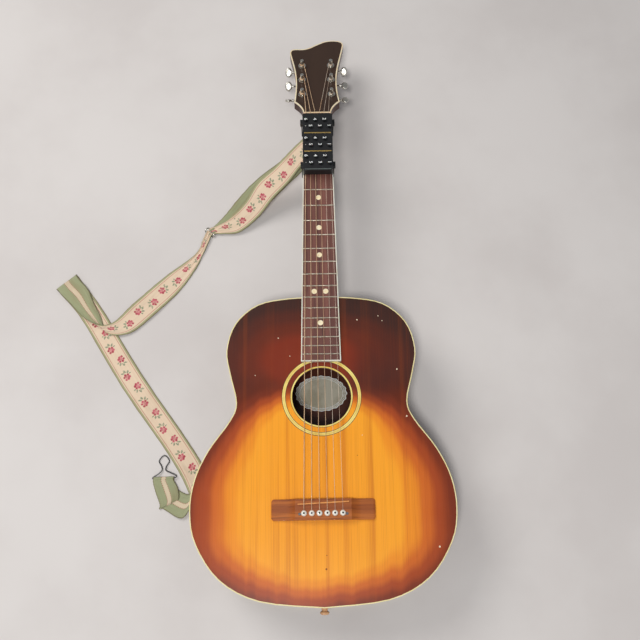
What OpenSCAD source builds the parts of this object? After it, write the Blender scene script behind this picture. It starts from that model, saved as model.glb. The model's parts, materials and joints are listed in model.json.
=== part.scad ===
// Twelve-fret acoustic guitar with a push-button chord attachment and a woven strap.
// Origin: on the flat back, under the centre of the soundhole. +Y runs to the head, +Z to the strings.

/* [Body] */
// Width of the upper bout
upper_w = 292; // [240:1:350]
// Width of the waist
waist_w = 260; // [210:1:300]
// Width of the lower bout
lower_w = 392; // [330:1:450]
// Depth of the body, over both plates
body_depth = 100; // [80:1:120]
// Distance from the soundhole's centre to the neck end of the body
body_top = 159; // [150:1:190]
// Distance from the soundhole's centre to the tail
body_tail = 305; // [270:1:360]
// Thickness of the top
top_t = 2.8; // [2:0.1:4]
// Thickness of the back
back_t = 2.6; // [2:0.1:4]
// Thickness of the bent sides
side_t = 2.4; // [2:0.1:3.5]
// Width of the cream body binding
bind_w = 1.6; // [1:0.1:2]
// Height of the cream body binding
bind_h = 6; // [3.5:0.1:8]
// Radius of the soundhole
hole_r = 44.6; // [38:0.1:50]

/* [Neck and strings] */
// Length of the open strings, zero fret to saddle
scale_len = 630; // [540:1:690]
// Width of the board at the nut
nut_w = 46; // [42:0.5:54]
// Width of the board at its body end
board_end_w = 61.5; // [56:0.5:72]
// Thickness of the fingerboard
board_t = 6; // [5:0.1:8]
// Depth of the neck shaft behind the nut
shaft_d = 19; // [16:0.5:24]
// Distance between the outer strings at the nut
string_span_nut = 38; // [34:0.5:40]
// Distance between the outer strings at the saddle
string_span_saddle = 56.5; // [50:0.5:60]
// Height of the strings above the top at the saddle
saddle_rise = 11.5; // [10.8:0.1:14]

/* [Head] */
// Angle by which the head tips back
head_tilt = 12; // [8:0.5:15]
// Thickness of the head with its veneer
head_t = 17; // [14:0.5:18]
// Distance between neighbouring tuning posts
post_pitch = 33.5; // [30:0.5:36]
// Distance of the posts from the head's middle
post_x = 25; // [23:0.5:27]
// Radius of a tuning post
post_r = 3; // [2.5:0.1:3.4]

/* [Bridge] */
// Length of the bridge, across the top
bridge_w = 152; // [140:1:170]
// Width of the bridge, along the strings
bridge_l = 30; // [28:1:40]
// Height of the bridge's middle
bridge_h = 9; // [8:0.1:10]

/* [Chord attachment] */
// Width of the box
box_w = 49; // [48:0.5:52]
// Height of the box's lid above the frets
box_h = 20; // [18:0.5:26]
// Radius of a push button
button_r = 3.2; // [2.4:0.1:3.5]
// Travel of a push button
button_travel = 3; // [1:0.1:3]

/* [Strap] */
// Thickness of the webbing
strap_t = 1.6; // [1:0.1:1.8]

/* [Hidden] */
$fn = 48;
bit = 0.01;

// ---- small tools ----
function mix(a, b, t) = a + (b - a) * t;
function unit(v) = v / norm(v);
function cubic(p0, p1, p2, p3, t) =
    0.5 * (2 * p1 + (p2 - p0) * t + (2 * p0 - 5 * p1 + 4 * p2 - p3) * t * t
        + (3 * p1 - p0 - 3 * p2 + p3) * t * t * t);
// A smooth curve through the points, with the given number of steps between neighbours
function smooth(p, steps) = [
    for (i = [0 : len(p) - 2], k = [0 : steps - 1])
        cubic(p[max(i - 1, 0)], p[i], p[i + 1], p[min(i + 2, len(p) - 1)], k / steps),
    p[len(p) - 1]];
function after_first(p) = [for (i = [1 : len(p) - 1]) p[i]];
function mirrored(half) = [for (i = [1 : len(half) - 2]) let (p = half[len(half) - 1 - i]) [-p[0], p[1]]];
// A clockwise outline moved inwards by d
function inset(p, d) = [
    for (i = [0 : len(p) - 1])
        let (v = unit(p[(i + 1) % len(p)] - p[(i + len(p) - 1) % len(p)])) p[i] + d * [v[1], -v[0]]];

module plate(outline, thickness, z = 0) {
    translate([0, 0, z]) linear_extrude(thickness) polygon(outline);
}
module ring_of(outer, inner, thickness, z = 0) {
    translate([0, 0, z]) linear_extrude(thickness) difference() {
        polygon(outer);
        polygon(inner);
    }
}
// A box between two corners
module block(low, high) {
    translate(low) cube(high - low);
}
// A closed solid through rings that all have the same number of points
module loft(rings) {
    n = len(rings[0]);
    last = len(rings) - 1;
    points = [for (r = rings, p = r) p];
    walls = [for (i = [0 : last - 1], k = [0 : n - 1], half = [0, 1])
        let (a = i * n + k, b = i * n + (k + 1) % n)
        half == 0 ? [a, b + n, b] : [a, a + n, b + n]];
    start = [for (k = [1 : n - 2]) [0, k, k + 1]];
    end = [for (k = [1 : n - 2]) [last * n, last * n + k + 1, last * n + k]];
    polyhedron(points, concat(walls, start, end));
}
// A round wire of radius r along a route, with up at right angles to most of it
module wire(route, r, sides = 8, up = [0, 0, 1]) {
    last = len(route) - 1;
    loft([for (i = [0 : last])
        let (t = unit(route[min(i + 1, last)] - route[max(i - 1, 0)]),
            side = unit(cross(t, up)),
            rise = cross(side, t))
        [for (k = [0 : sides - 1]) let (a = -360 * k / sides) route[i] + r * (cos(a) * side + sin(a) * rise)]]);
}

// ---- body outline ----
uw = upper_w / 2;
ww = waist_w / 2;
lw = lower_w / 2;
upper_y = 74;
waist_y = -8;
lower_y = -170;
half_outline = smooth([
    [0, body_top], [0.33 * uw, body_top - 1], [0.67 * uw, body_top - 11],
    [0.91 * uw, mix(body_top, upper_y, 0.49)], [uw, upper_y],
    [mix(uw, ww, 0.38), mix(upper_y, waist_y, 0.47)], [ww, waist_y],
    [mix(ww, lw, 0.14), mix(waist_y, lower_y, 0.17)], [mix(ww, lw, 0.62), mix(waist_y, lower_y, 0.445)],
    [mix(ww, lw, 0.917), mix(waist_y, lower_y, 0.716)], [lw, lower_y],
    [0.95 * lw, mix(lower_y, -body_tail, 0.34)], [0.77 * lw, mix(lower_y, -body_tail, 0.71)],
    [0.47 * lw, mix(lower_y, -body_tail, 0.93)], [0, -body_tail]], 4);
outline = concat(half_outline, mirrored(half_outline));
// The heel stands on the outermost point of the neck end
joint_y = max([for (p = outline) p[1]]);
plate_edge = inset(outline, bind_w);
inner_wall = inset(outline, side_t);
lining_w = 6;
lining_h = 12;
lining_edge = inset(outline, side_t + lining_w);
top_under = body_depth - top_t;

// ---- positions along the strings ----
fit = 0.1;
join_gap = 1.5;
zero_y = body_top - join_gap + scale_len / 2;
function fret_y(n) = zero_y - scale_len * (1 - pow(2, -n / 12));
last_fret = 18;
board_end = fret_y(last_fret + 0.9);
nut_gap = 9;
nut_l = 4.5;
nut_y = zero_y + nut_gap;
nut_back = nut_y + nut_l;
saddle_y = zero_y - scale_len - 2;
saddle_t = 2;
saddle_w = 75;
saddle_turn = 2.5;
function board_half(y) = mix(nut_w, board_end_w, (nut_y - y) / (nut_y - board_end)) / 2;
board_top = body_depth + board_t;
fret_h = 1;
fret_w = 2;
tang_w = 0.6;
tang_h = 1.8;
fret_top = board_top + fret_h;
string_r = [0.6, 0.52, 0.44, 0.36, 0.26, 0.22];
function string_x(i, span) = span * (i / 5 - 0.5);

// ---- blocks and joint ----
block_w = 70;
neck_block_l = 46;
tail_block_l = 18;
tenon_w = 26;
tenon_l = 24;
tenon_low = 24;
tenon_high = body_depth - bind_h - 2 * fit;

// ---- bridge ----
bridge_y = saddle_y - 9;
pin_y = saddle_y - 14.5;
pin_r = 2.3;
pin_head_r = 4.25;
pin_hole_r = pin_r + fit;
bolt_r = 1.5;
bolt_head_r = 2;
bolt_x = string_span_saddle / 2 + 6.2;
bridge_plate_t = 3;
bridge_plate_w = bridge_w - 20;
bridge_plate_l = bridge_l + 12;
bridge_top = body_depth + bridge_h;

// ---- braces ----
brace_w = 7;
brace_h = 12;
top_brace_y = [98, hole_r + 20, -hole_r - 20, pin_y - 52];
back_brace_y = [92, -36, -104, -202];
brace_gap = 0.5;

// ---- head frame ----
veneer_t = 2;
head_bind_w = 2;
face_rise = board_t - 3;
face_z = body_depth + face_rise;
// The head's square end leans back by the tilt, so it starts clear of the nut
head_y = nut_back + face_rise * tan(head_tilt) + fit;
post_u = [for (i = [0 : 2]) 41.5 + i * post_pitch];
head_corner_x = 38.5;
head_right = concat(
    smooth([[nut_w / 2, 0], [nut_w / 2 + 2.5, 9], [31, 17.5], [head_corner_x, 25]], 3),
    after_first(smooth([[head_corner_x, 25], [35.2, 48], [34.4, 72], [36.3, 97], [41, 122], [46, 146],
        [48, 158]], 3)));
head_over = smooth([[47.6, 161.5], [45, 166], [38, 169], [27, 170], [14, 167.5], [0, 160], [-12, 152.8],
    [-23, 149.6], [-37, 149.8], [-43.6, 147.6], [-46.2, 142]], 3);
head_left = concat(
    smooth([[-46, 138], [-42.8, 122], [-38.3, 99], [-36, 75], [-36.2, 50], [-head_corner_x, 25]], 3),
    after_first(smooth([[-head_corner_x, 25], [-31, 17.5], [-nut_w / 2 - 2.5, 9], [-nut_w / 2, 0]], 3)));
head_anti = concat(head_right, head_over, head_left);
head_outline = [for (i = [len(head_anti) - 1 : -1 : 0]) head_anti[i]];
veneer_edge = inset(head_outline, head_bind_w);
module on_head() {
    translate([0, head_y, face_z]) rotate([-head_tilt, 0, 0]) children();
}

// ---- tuners ----
base_t = 1.2;
bush_r = 5;
bush_h = 6;
bush_flange_r = 6.4;
bush_flange_t = 1.2;
run = 0.05;
gear_r = 4.3;
gear_root = 3.5;
gear_t = 3.5;
gear_teeth = 14;
worm_r = 2;
worm_gap = 0.2;
worm_u = gear_r + worm_r + worm_gap;
journal_r = 1.5;
worm_z = -head_t - base_t - 3.2;
tab_t = 2;
tab_in = post_x - 8;
tab_out = post_x + 6;
knob_x = post_x + 24;
knob_a = 6;
knob_b = 8.5;
knob_t = 5;
post_up = 13;
coil_z = 3;
knob_turn = [45, -45, -40, 45, -5, -16];
function side_of(i) = i < 3 ? -1 : 1;
function post_of(i) = i < 3 ? post_u[i] : post_u[5 - i];

// ---- chord attachment ----
wall_t = 1.4;
flange_w = 0.6;
lid_t = 2.5;
box_low = board_top;
box_top = fret_top + box_h;
box_head_y = zero_y - 1;
box_tail_y = fret_y(3) - 5;
box_corner = 4;
slot_h = 5.5;
row_gap = 12;
function group_y(g) = (fret_y(g) + fret_y(g + 1)) / 2 - 2.5;
function button_x(k) = string_x(k, string_span_nut);
lug_y = [box_head_y - 11.5, box_tail_y + 15];
lug_l = 8;
lug_out = 4;
lug_low = box_low + 4;
band_t = 1.5;
strap_clear = 1.5;
band_in = box_w / 2 + 0.8;
band_low = body_depth - shaft_d - strap_t - strap_clear - 0.6;

// ---- strap: the two edges of the webbing, station by station, from the neck to the hook ----
strap_z = strap_t / 2 + 0.1;
neck_z = body_depth - shaft_d - strap_t / 2 - strap_clear;
near_neck = [[[-4, 469, neck_z], [19, 441, neck_z]], [[-24, 451, neck_z], [-12, 415, neck_z]],
    [[-44, 434, 73], [-30, 401, 71]], [[-74, 410, 57], [-52, 380, 53]], [[-105, 390, 38], [-78, 361, 34]],
    [[-133, 367, 20], [-107, 338, 16]]];
to_buckle = [[[-160, 344, 6], [-138, 320, 5]], [[-178, 328, 3.4], [-168, 316, 3.4]],
    [[-192, 319, 3.4], [-184, 309, 3.4]], [[-201, 300, 3.4], [-191, 294, 3.4]],
    [[-209, 279, 2], [-201, 270, 2]]];
to_fold = [[[-230, 259, 1.4], [-214, 243, 1.4]], [[-266, 232, strap_z], [-241, 204, strap_z]],
    [[-314, 187, 2.2], [-290, 156, 2.2]], [[-343, 160, 4.2], [-325, 131, 4.2]], [[-380, 166, 5], [-341, 128, 5]],
    [[-419, 184, 5.2], [-351, 146, 5.2]]];
double_fold = [[[-424, 182, 7], [-356, 144, 7]], [[-419, 186, 8.8], [-353, 152, 8.8]],
    [[-427, 200, 8.6], [-380, 198, 8.6]], [[-442, 207, 8], [-410, 234, 8]],
    [[-447, 212, 4.6], [-415, 238, 4.6]], [[-441, 205, 1.4], [-409, 231, 1.4]]];
long_run = [[[-401, 158, strap_z], [-369, 178, strap_z]], [[-328, 42, strap_z], [-296, 63, strap_z]],
    [[-253, -62, strap_z], [-222, -41, strap_z]], [[-224, -108, strap_z], [-192, -87, strap_z]]];
side_fold = [[[-208, -142, 1.4], [-190, -102, 1.4]], [[-204, -150, 4], [-193.5, -112, 4]],
    [[-211, -160, 6.4], [-200, -122, 6.4]], [[-224, -171, 3.6], [-212, -134, 3.6]],
    [[-252, -156, strap_z], [-232, -126, strap_z]]];
end_tab = [[[-258, -156, 2.4], [-228, -141, 2.4]], [[-257, -149, 3.9], [-227, -134, 3.9]],
    [[-264, -131, 3.9], [-230, -122, 3.9]], [[-270, -111, 3.6], [-235, -109, 3.6]]];
strap_stations = concat(near_neck, to_buckle, to_fold, double_fold, long_run, side_fold, end_tab);
strap_edge_a = smooth([for (s = strap_stations) s[0]], 3);
strap_edge_b = smooth([for (s = strap_stations) s[1]], 3);

// ---- wire hook: one wire, from its bar in the strap's hem, round the loop and back to the bar ----
hook_r = 1;
hook_route = smooth([[-252, -108.8, 3.7], [-240, -108.1, 3.7], [-233, -106.6, 3.5], [-233.5, -103.6, 3.3],
    [-240, -100.2, 3], [-249.6, -95.5, 2.2], [-249, -88.5, 1.5], [-244.8, -80, 1.1], [-253, -71.5, 1.1],
    [-261.2, -80, 1.1], [-257, -88.5, 1.5], [-256, -95.5, 2.2], [-262, -102, 3], [-269.5, -106.8, 3.5],
    [-268, -109.3, 3.7], [-254.5, -108.8, 3.7]], 3);

// ================= body =================
module neck_pocket() {
    block([-tenon_w / 2 - fit, body_top - tenon_l - fit, tenon_low - fit],
        [tenon_w / 2 + fit, body_top + side_t, tenon_high + fit]);
}
module end_button_hole() {
    translate([0, -body_tail + 16, body_depth / 2]) rotate([90, 0, 0]) cylinder(r = 3.5 + fit, h = 30);
}
module pin_holes(z, h) {
    for (i = [0 : 5])
        translate([string_x(i, string_span_saddle), pin_y, z]) cylinder(r = pin_hole_r, h = h);
    for (s = [-1, 1])
        translate([s * bolt_x, pin_y - 1, z]) cylinder(r = bolt_r + fit, h = h);
}
module top_plate() {
    color([0.72, 0.36, 0.12]) difference() {
        plate(plate_edge, top_t, top_under);
        translate([0, 0, top_under - 1]) cylinder(r = hole_r, h = top_t + 2, $fn = 96);
        translate([0, 0, body_depth - ring_depth]) inner_ring_shape(1);
        translate([0, 0, body_depth - ring_depth]) outer_ring_shape(1);
        pin_holes(top_under - 1, top_t + 2);
    }
}
ring_depth = 1;
inner_ring_w = 3.1;
outer_ring_in = hole_r + 10.1;
outer_ring_w = 6;
module inner_ring_shape(extra = 0) {
    difference() {
        cylinder(r = hole_r + inner_ring_w, h = ring_depth + extra, $fn = 96);
        translate([0, 0, -1]) cylinder(r = hole_r, h = ring_depth + extra + 2, $fn = 96);
    }
}
module outer_ring_shape(extra = 0) {
    difference() {
        cylinder(r = outer_ring_in + outer_ring_w, h = ring_depth + extra, $fn = 96);
        translate([0, 0, -1]) cylinder(r = outer_ring_in, h = ring_depth + extra + 2, $fn = 96);
    }
}
module soundhole_rings() {
    color([0.9, 0.82, 0.45]) translate([0, 0, body_depth - ring_depth]) {
        inner_ring_shape();
        outer_ring_shape();
    }
}
module back_plate() {
    color([0.33, 0.16, 0.1]) plate(plate_edge, back_t);
}
module binding_ring(z) {
    ring_of(outline, plate_edge, bind_h, z);
}
module body_binding() {
    color([0.88, 0.83, 0.64]) {
        binding_ring(0);
        binding_ring(body_depth - bind_h);
    }
}
module sides() {
    color([0.3, 0.14, 0.09]) difference() {
        ring_of(outline, inner_wall, body_depth - top_t - back_t, back_t);
        ring_of(inset(outline, -5), plate_edge, bind_h, 0);
        ring_of(inset(outline, -5), plate_edge, bind_h + 1, body_depth - bind_h);
        neck_pocket();
        end_button_hole();
    }
}
module end_blocks() {
    color([0.8, 0.66, 0.45]) difference() {
        intersection() {
            plate(inner_wall, top_under - back_t, back_t);
            union() {
                block([-block_w / 2, body_top - neck_block_l, 0], [block_w / 2, body_top, body_depth]);
                block([-block_w / 2, -body_tail, 0],
                    [block_w / 2, -body_tail + tail_block_l + side_t, body_depth]);
            }
        }
        neck_pocket();
        end_button_hole();
    }
}
module linings() {
    color([0.82, 0.7, 0.5]) difference() {
        union() {
            ring_of(inner_wall, lining_edge, lining_h, back_t);
            ring_of(inner_wall, lining_edge, lining_h, top_under - lining_h);
        }
        for (y = [-body_tail - 10, body_top - 60])
            block([-block_w / 2, y, 0], [block_w / 2, y + 70, body_depth]);
    }
}
module brace_bars(list, z) {
    for (y = list)
        block([-lower_w, y - brace_w / 2, z], [lower_w, y + brace_w / 2, z + brace_h]);
}
module braces() {
    color([0.85, 0.72, 0.5]) difference() {
        intersection() {
            plate(inset(outline, side_t + lining_w + brace_gap), body_depth);
            union() {
                brace_bars(top_brace_y, top_under - brace_h);
                brace_bars(back_brace_y, back_t);
                block([-bridge_plate_w / 2, bridge_y - bridge_plate_l / 2, top_under - bridge_plate_t],
                    [bridge_plate_w / 2, bridge_y + bridge_plate_l / 2, top_under]);
            }
        }
        pin_holes(top_under - 20, 30);
    }
}
label_w = 84;
label_l = 59;
label_y = 25.5;
label_scallops = 20;
module paper_label() {
    color([0.72, 0.72, 0.7]) translate([0, label_y, back_t]) linear_extrude(0.3)
        polygon([for (a = [0 : 3 : 357])
            let (s = 1 + 0.022 * cos(label_scallops * a)) [s * label_w / 2 * cos(a), s * label_l / 2 * sin(a)]]);
}
button_stem = 3.5;
module end_button() {
    color([0.86, 0.68, 0.52]) translate([0, -body_tail, body_depth / 2]) rotate([90, 0, 0])
        rotate_extrude() polygon([[0, -14], [button_stem - 0.3, -14], [button_stem, -12], [button_stem, 0],
            [5.5, 0.6], [5, 2], [4.2, 3.5], [4.6, 5], [6.6, 6.4], [7, 8], [6.2, 9.6], [4, 10.6], [0, 11]]);
}

// ================= bridge =================
wing_t = 3.4;
mid_half = 41;
scoop_l = 15;
function bridge_side() = concat([[0, bridge_h], [mid_half, bridge_h]],
    [for (k = [1 : 6]) let (t = k / 6) [mid_half + scoop_l * t, mix(bridge_h, wing_t, 1 - (1 - t) * (1 - t))]],
    [[bridge_w / 2 - 3, wing_t - 0.6], [bridge_w / 2, wing_t - 1.6], [bridge_w / 2, 0]]);
bridge_profile = let (h = bridge_side()) concat(h, [for (i = [len(h) - 1 : -1 : 0]) [-h[i][0], h[i][1]]]);
module bridge() {
    color([0.5, 0.25, 0.12]) difference() {
        intersection() {
            translate([0, bridge_y + bridge_l / 2, body_depth]) rotate([90, 0, 0])
                linear_extrude(bridge_l) polygon(bridge_profile);
            translate([0, bridge_y, body_depth - 1]) linear_extrude(bridge_h + 2)
                rounded(bridge_w, bridge_l, 4);
        }
        translate([0, saddle_y, bridge_top - 4]) rotate([0, 0, saddle_turn])
            translate([-saddle_w / 2, -saddle_t / 2, 0]) cube([saddle_w, saddle_t, 10]);
        pin_holes(body_depth - 1, bridge_h + 2);
        for (s = [-1, 1])
            translate([s * bolt_x, pin_y - 1, bridge_top - 1]) cylinder(r = bolt_head_r + fit, h = 3);
    }
}
module rounded(w, l, r) {
    square([w - 2 * r, l], center = true);
    square([w, l - 2 * r], center = true);
    for (x = [-1, 1], y = [-1, 1]) translate([x * (w / 2 - r), y * (l / 2 - r)]) circle(r);
}
module saddle() {
    color([0.85, 0.62, 0.25]) translate([0, saddle_y, bridge_top - 4]) rotate([0, 0, saddle_turn])
        translate([-saddle_w / 2, -saddle_t / 2, 0]) cube([saddle_w, saddle_t, saddle_rise - bridge_h + 4]);
}
module bridge_pins() {
    color([0.93, 0.92, 0.86])
        for (i = [0 : 5])
            translate([string_x(i, string_span_saddle), pin_y, bridge_top])
                rotate_extrude() polygon([[0, -22], [pin_r - 0.5, -22], [pin_r, -8], [pin_r, 0],
                    [pin_head_r - 0.4, 0], [pin_head_r, 0.8], [3.6, 2.4], [2.4, 3.4], [0, 3.8]]);
}
module bridge_bolts() {
    color([0.35, 0.35, 0.37])
        for (s = [-1, 1]) translate([s * bolt_x, pin_y - 1, 0]) {
            translate([0, 0, top_under - bridge_plate_t - 4]) cylinder(r = bolt_r, h = bridge_h + top_t + 6);
            translate([0, 0, bridge_top - 1]) cylinder(r = bolt_head_r, h = 1.4);
            translate([0, 0, top_under - bridge_plate_t - 2.5]) cylinder(r = 3.2, h = 2.5, $fn = 6);
        }
}

// ================= neck =================
heel_l = 66;
heel_low = 9;
heel_power = 3;
function shaft_depth(y) = mix(shaft_d + 2.5, shaft_d, (y - body_top) / (nut_y - body_top));
function heel_share(y) = pow(max(0, (joint_y + heel_l - y) / heel_l), heel_power);
function neck_depth(y) = mix(shaft_depth(y), body_depth - heel_low, heel_share(y));
function neck_ring(y, half, top, depth) = [for (i = [0 : 14])
    let (a = 180 * i / 14, c = cos(a))
    [half * sign(c) * pow(abs(c), 0.8), y, top - depth * pow(sin(a), 0.85)]];
neck_stops = concat([for (i = [0 : 7]) joint_y + heel_l * i / 7], [joint_y + 100, nut_y - 60, nut_back]);
neck_rings = [for (y = neck_stops) neck_ring(y, board_half(min(y, nut_y)), body_depth, neck_depth(min(y, nut_y)))];
// The throat carries the shaft's round back on under the head
throat_rings = [neck_ring(nut_back - 8, nut_w / 2 - 1, body_depth - 7, shaft_d - 7.1),
    neck_ring(nut_back + 24, nut_w / 2 - 1, body_depth - 14, shaft_d - 14.5)];
module neck() {
    color([0.23, 0.12, 0.09]) difference() {
        union() {
            loft(neck_rings);
            loft(throat_rings);
            block([-tenon_w / 2, body_top - tenon_l, tenon_low], [tenon_w / 2, joint_y + 4, tenon_high]);
            on_head() plate(head_outline, head_t - veneer_t, -head_t);
        }
        on_head() for (i = [0 : 5]) translate([side_of(i) * post_x, post_of(i), -head_t - 1]) {
            cylinder(r = post_r + 0.5, h = head_t + 2);
            translate([0, 0, head_t + 1 - bush_h]) cylinder(r = bush_r, h = bush_h + 1);
        }
    }
}
module bushing_holes() {
    for (i = [0 : 5])
        translate([side_of(i) * post_x, post_of(i), -veneer_t - 1]) cylinder(r = bush_r, h = veneer_t + 2);
}
module head_veneer() {
    color([0.2, 0.14, 0.11]) on_head() difference() {
        plate(veneer_edge, veneer_t, -veneer_t);
        bushing_holes();
    }
}
module head_binding() {
    color([0.9, 0.86, 0.72]) on_head() ring_of(head_outline, veneer_edge, veneer_t, -veneer_t);
}
board_bind = 1.6;
function taper(low, high, edge) = [[-board_half(low) + edge, low], [-board_half(high) + edge, high],
    [board_half(high) - edge, high], [board_half(low) - edge, low]];
dot_r = 4.2;
dot_t = 1.5;
dot_frets = [3, 5, 7, 9, 15];
function dot_y(n) = (fret_y(n) + fret_y(n - 1)) / 2;
module dot_places() {
    for (n = dot_frets) translate([0, dot_y(n), board_top - dot_t]) children();
    for (s = [-1, 1]) translate([s * 9, dot_y(12), board_top - dot_t]) children();
}
module fingerboard() {
    color([0.37, 0.23, 0.2]) difference() {
        plate(taper(board_end + board_bind, nut_y, board_bind), board_t, body_depth);
        for (n = [0 : last_fret])
            block([-board_end_w, fret_y(n) - tang_w / 2, board_top - 2],
                [board_end_w, fret_y(n) + tang_w / 2, board_top + 1]);
        dot_places() cylinder(r = dot_r + run, h = dot_t + 1);
    }
}
module board_binding() {
    color([0.85, 0.85, 0.8]) translate([0, 0, body_depth]) linear_extrude(board_t) difference() {
        polygon(taper(board_end, nut_y, 0));
        polygon(taper(board_end + board_bind, nut_y + 1, board_bind));
    }
}
fret_profile = [[-tang_w / 2, -tang_h], [tang_w / 2, -tang_h], [tang_w / 2, 0], [fret_w / 2, 0],
    [0.4 * fret_w, 0.6 * fret_h], [0.2 * fret_w, fret_h], [-0.2 * fret_w, fret_h], [-0.4 * fret_w, 0.6 * fret_h],
    [-fret_w / 2, 0], [-tang_w / 2, 0]];
module frets() {
    color([0.7, 0.68, 0.6])
        for (n = [0 : last_fret])
            let (half = board_half(fret_y(n)) - board_bind)
            translate([-half, fret_y(n), board_top]) rotate([90, 0, 90])
                linear_extrude(2 * half) polygon(fret_profile);
}
module position_dots() {
    color([0.9, 0.87, 0.72]) dot_places() cylinder(r = dot_r, h = dot_t);
}
module nut() {
    color([0.9, 0.86, 0.74])
        block([-nut_w / 2, nut_y, body_depth], [nut_w / 2, nut_back, fret_top - 0.3]);
}

// ================= strings and tuners =================
function on_face(x, u, z) = [x, head_y + u * cos(head_tilt) + z * sin(head_tilt),
    face_z - u * sin(head_tilt) + z * cos(head_tilt)];
coil_gap = 0.15;
// How far before the post's axis a string stops, just short of its coil
function coil_reach(r) = sqrt(2 * (post_r + coil_gap) * r + 3 * r * r) + 0.3;
// The outer strings reach the nearest posts
function string_post(i) = i < 3 ? i : 5 - i;
function string_route(i) =
    let (r = string_r[i], s = side_of(i), xs = string_x(i, string_span_saddle), xn = string_x(i, string_span_nut),
        bend = saddle_y + xs * tan(saddle_turn))
    [[xs, pin_y + pin_head_r + 0.3, bridge_top + r + run],
    [xs, bend - 3, body_depth + saddle_rise + r - 0.3],
    [xs, bend, body_depth + saddle_rise + r + run],
    [xn, zero_y, fret_top + r + run],
    [xn, nut_back, fret_top - 0.25 + r + run],
    on_face(s * (post_x - post_r - coil_gap - r), post_u[string_post(i)] - coil_reach(r), coil_z + 2.5 * r)];
// Three turns round a post, clear of it by a running gap
module coil(r) {
    inner = post_r + coil_gap;
    bumps = [for (k = [0 : 2], a = [-60 : 30 : 60]) [inner + r + r * cos(a), r * (1 + 1.8 * k + sin(a))]];
    rotate_extrude() polygon(concat([[inner, 0]], bumps, [[inner, 5.6 * r]]));
}
module strings() {
    color([0.75, 0.68, 0.55]) for (i = [0 : 5]) {
        wire(string_route(i), string_r[i], 8);
        on_head() translate([side_of(i) * post_x, post_u[string_post(i)], coil_z]) coil(string_r[i]);
    }
}
module gear_shape() {
    polygon([for (k = [0 : 4 * gear_teeth - 1])
        let (a = 90 * (k - 0.5) / gear_teeth, r = k % 4 < 2 ? gear_r : gear_root) [r * cos(a), r * sin(a)]]);
}
module tuner_post(i) {
    color([0.75, 0.75, 0.74]) on_head() translate([side_of(i) * post_x, post_of(i), 0]) difference() {
        union() {
            translate([0, 0, worm_z - gear_t / 2 - 1]) cylinder(r = post_r, h = post_up - worm_z + gear_t / 2 + 1);
            translate([0, 0, worm_z - gear_t / 2]) linear_extrude(gear_t) gear_shape();
        }
        translate([-10, 0, post_up - 3]) rotate([0, 90, 0]) cylinder(r = 0.8, h = 20);
    }
}
module tuner_bushings() {
    color([0.7, 0.7, 0.69]) on_head() for (i = [0 : 5]) translate([side_of(i) * post_x, post_of(i), 0])
        difference() {
            union() {
                translate([0, 0, -bush_h + 1]) cylinder(r = bush_r - run, h = bush_h - 1);
                cylinder(r = bush_flange_r, h = bush_flange_t);
            }
            translate([0, 0, -10]) cylinder(r = post_r + run, h = 20);
        }
}
module tuner_plates() {
    color([0.6, 0.6, 0.58]) on_head() for (s = [-1, 1]) difference() {
        union() {
            block([s * post_x - 7, post_u[0] - 14, -head_t - base_t], [s * post_x + 7, post_u[2] + 17, -head_t]);
            for (u = post_u, x = [tab_in, tab_out])
                block([min(s * x, s * (x + tab_t)), u + worm_u - 3.5, worm_z - 3],
                    [max(s * x, s * (x + tab_t)), u + worm_u + 3.5, -head_t]);
        }
        for (u = post_u) {
            translate([s * post_x, u, -head_t - base_t - 1]) cylinder(r = post_r + run, h = base_t + 2);
            translate([-60, u + worm_u, worm_z]) rotate([0, 90, 0]) cylinder(r = journal_r + run, h = 120);
        }
    }
}
module tuner_knob(i) {
    oval = [for (a = [0 : 10 : 350]) [knob_a * cos(a), knob_b * sin(a)]];
    color([0.78, 0.77, 0.74]) on_head() translate([0, post_of(i) + worm_u, worm_z])
        rotate([0, 0, side_of(i) < 0 ? 180 : 0]) {
            translate([tab_in - 0.5, 0, 0]) rotate([0, 90, 0]) cylinder(r = journal_r, h = knob_x - tab_in);
            translate([tab_in + tab_t + 0.2, 0, 0]) rotate([0, 90, 0])
                cylinder(r = worm_r, h = tab_out - tab_in - tab_t - 0.4);
            translate([knob_x - knob_a - 2.5, 0, 0]) rotate([0, 90, 0]) cylinder(r = 2.4, h = 4);
            translate([knob_x, 0, 0]) rotate([knob_turn[i], 0, 0]) translate([0, 0, -knob_t / 2])
                linear_extrude(knob_t) polygon(oval);
        }
}

// ================= chord attachment =================
box_mid = (box_head_y + box_tail_y) / 2;
box_l = box_head_y - box_tail_y;
function button_row(k) = k % 2 == 0 ? row_gap / 2 : -row_gap / 2;
function button_place(g, k) = [button_x(k), group_y(g) + button_row(k), 0];
button_fit = 0.1;
module chord_housing() {
    color([0.1, 0.1, 0.11]) difference() {
        union() {
            translate([0, box_mid, box_low]) linear_extrude(box_top - box_low)
                rounded(box_w, box_l, box_corner);
            for (y = lug_y, s = [-1, 1])
                block([min(s * box_w / 2, s * (box_w / 2 + lug_out)) - bit, y - lug_l / 2, lug_low],
                    [max(s * box_w / 2, s * (box_w / 2 + lug_out)) + bit, y + lug_l / 2, lug_low + 9]);
        }
        translate([0, box_mid, box_low - 1]) linear_extrude(box_top - box_low + 1 - lid_t)
            rounded(box_w - 2 * wall_t, box_l - 2 * wall_t, box_corner - wall_t);
        block([-box_w / 2 + wall_t, box_tail_y - 5, box_low - 1],
            [box_w / 2 - wall_t, box_head_y + 5, box_low + slot_h]);
        for (n = [0 : 3]) block([-box_w, fret_y(n) - fret_w / 2 - fit, box_low - 1],
            [box_w, fret_y(n) + fret_w / 2 + fit, fret_top + fit]);
        for (g = [0 : 2], k = [0 : 5]) translate(button_place(g, k)) translate([0, 0, box_top - lid_t - 1])
            cylinder(r = button_r + button_fit, h = lid_t + 2);
    }
}
cap_up = 4;
foot_low = fret_top + 2 * string_r[0] + 0.8 + button_travel;
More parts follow.
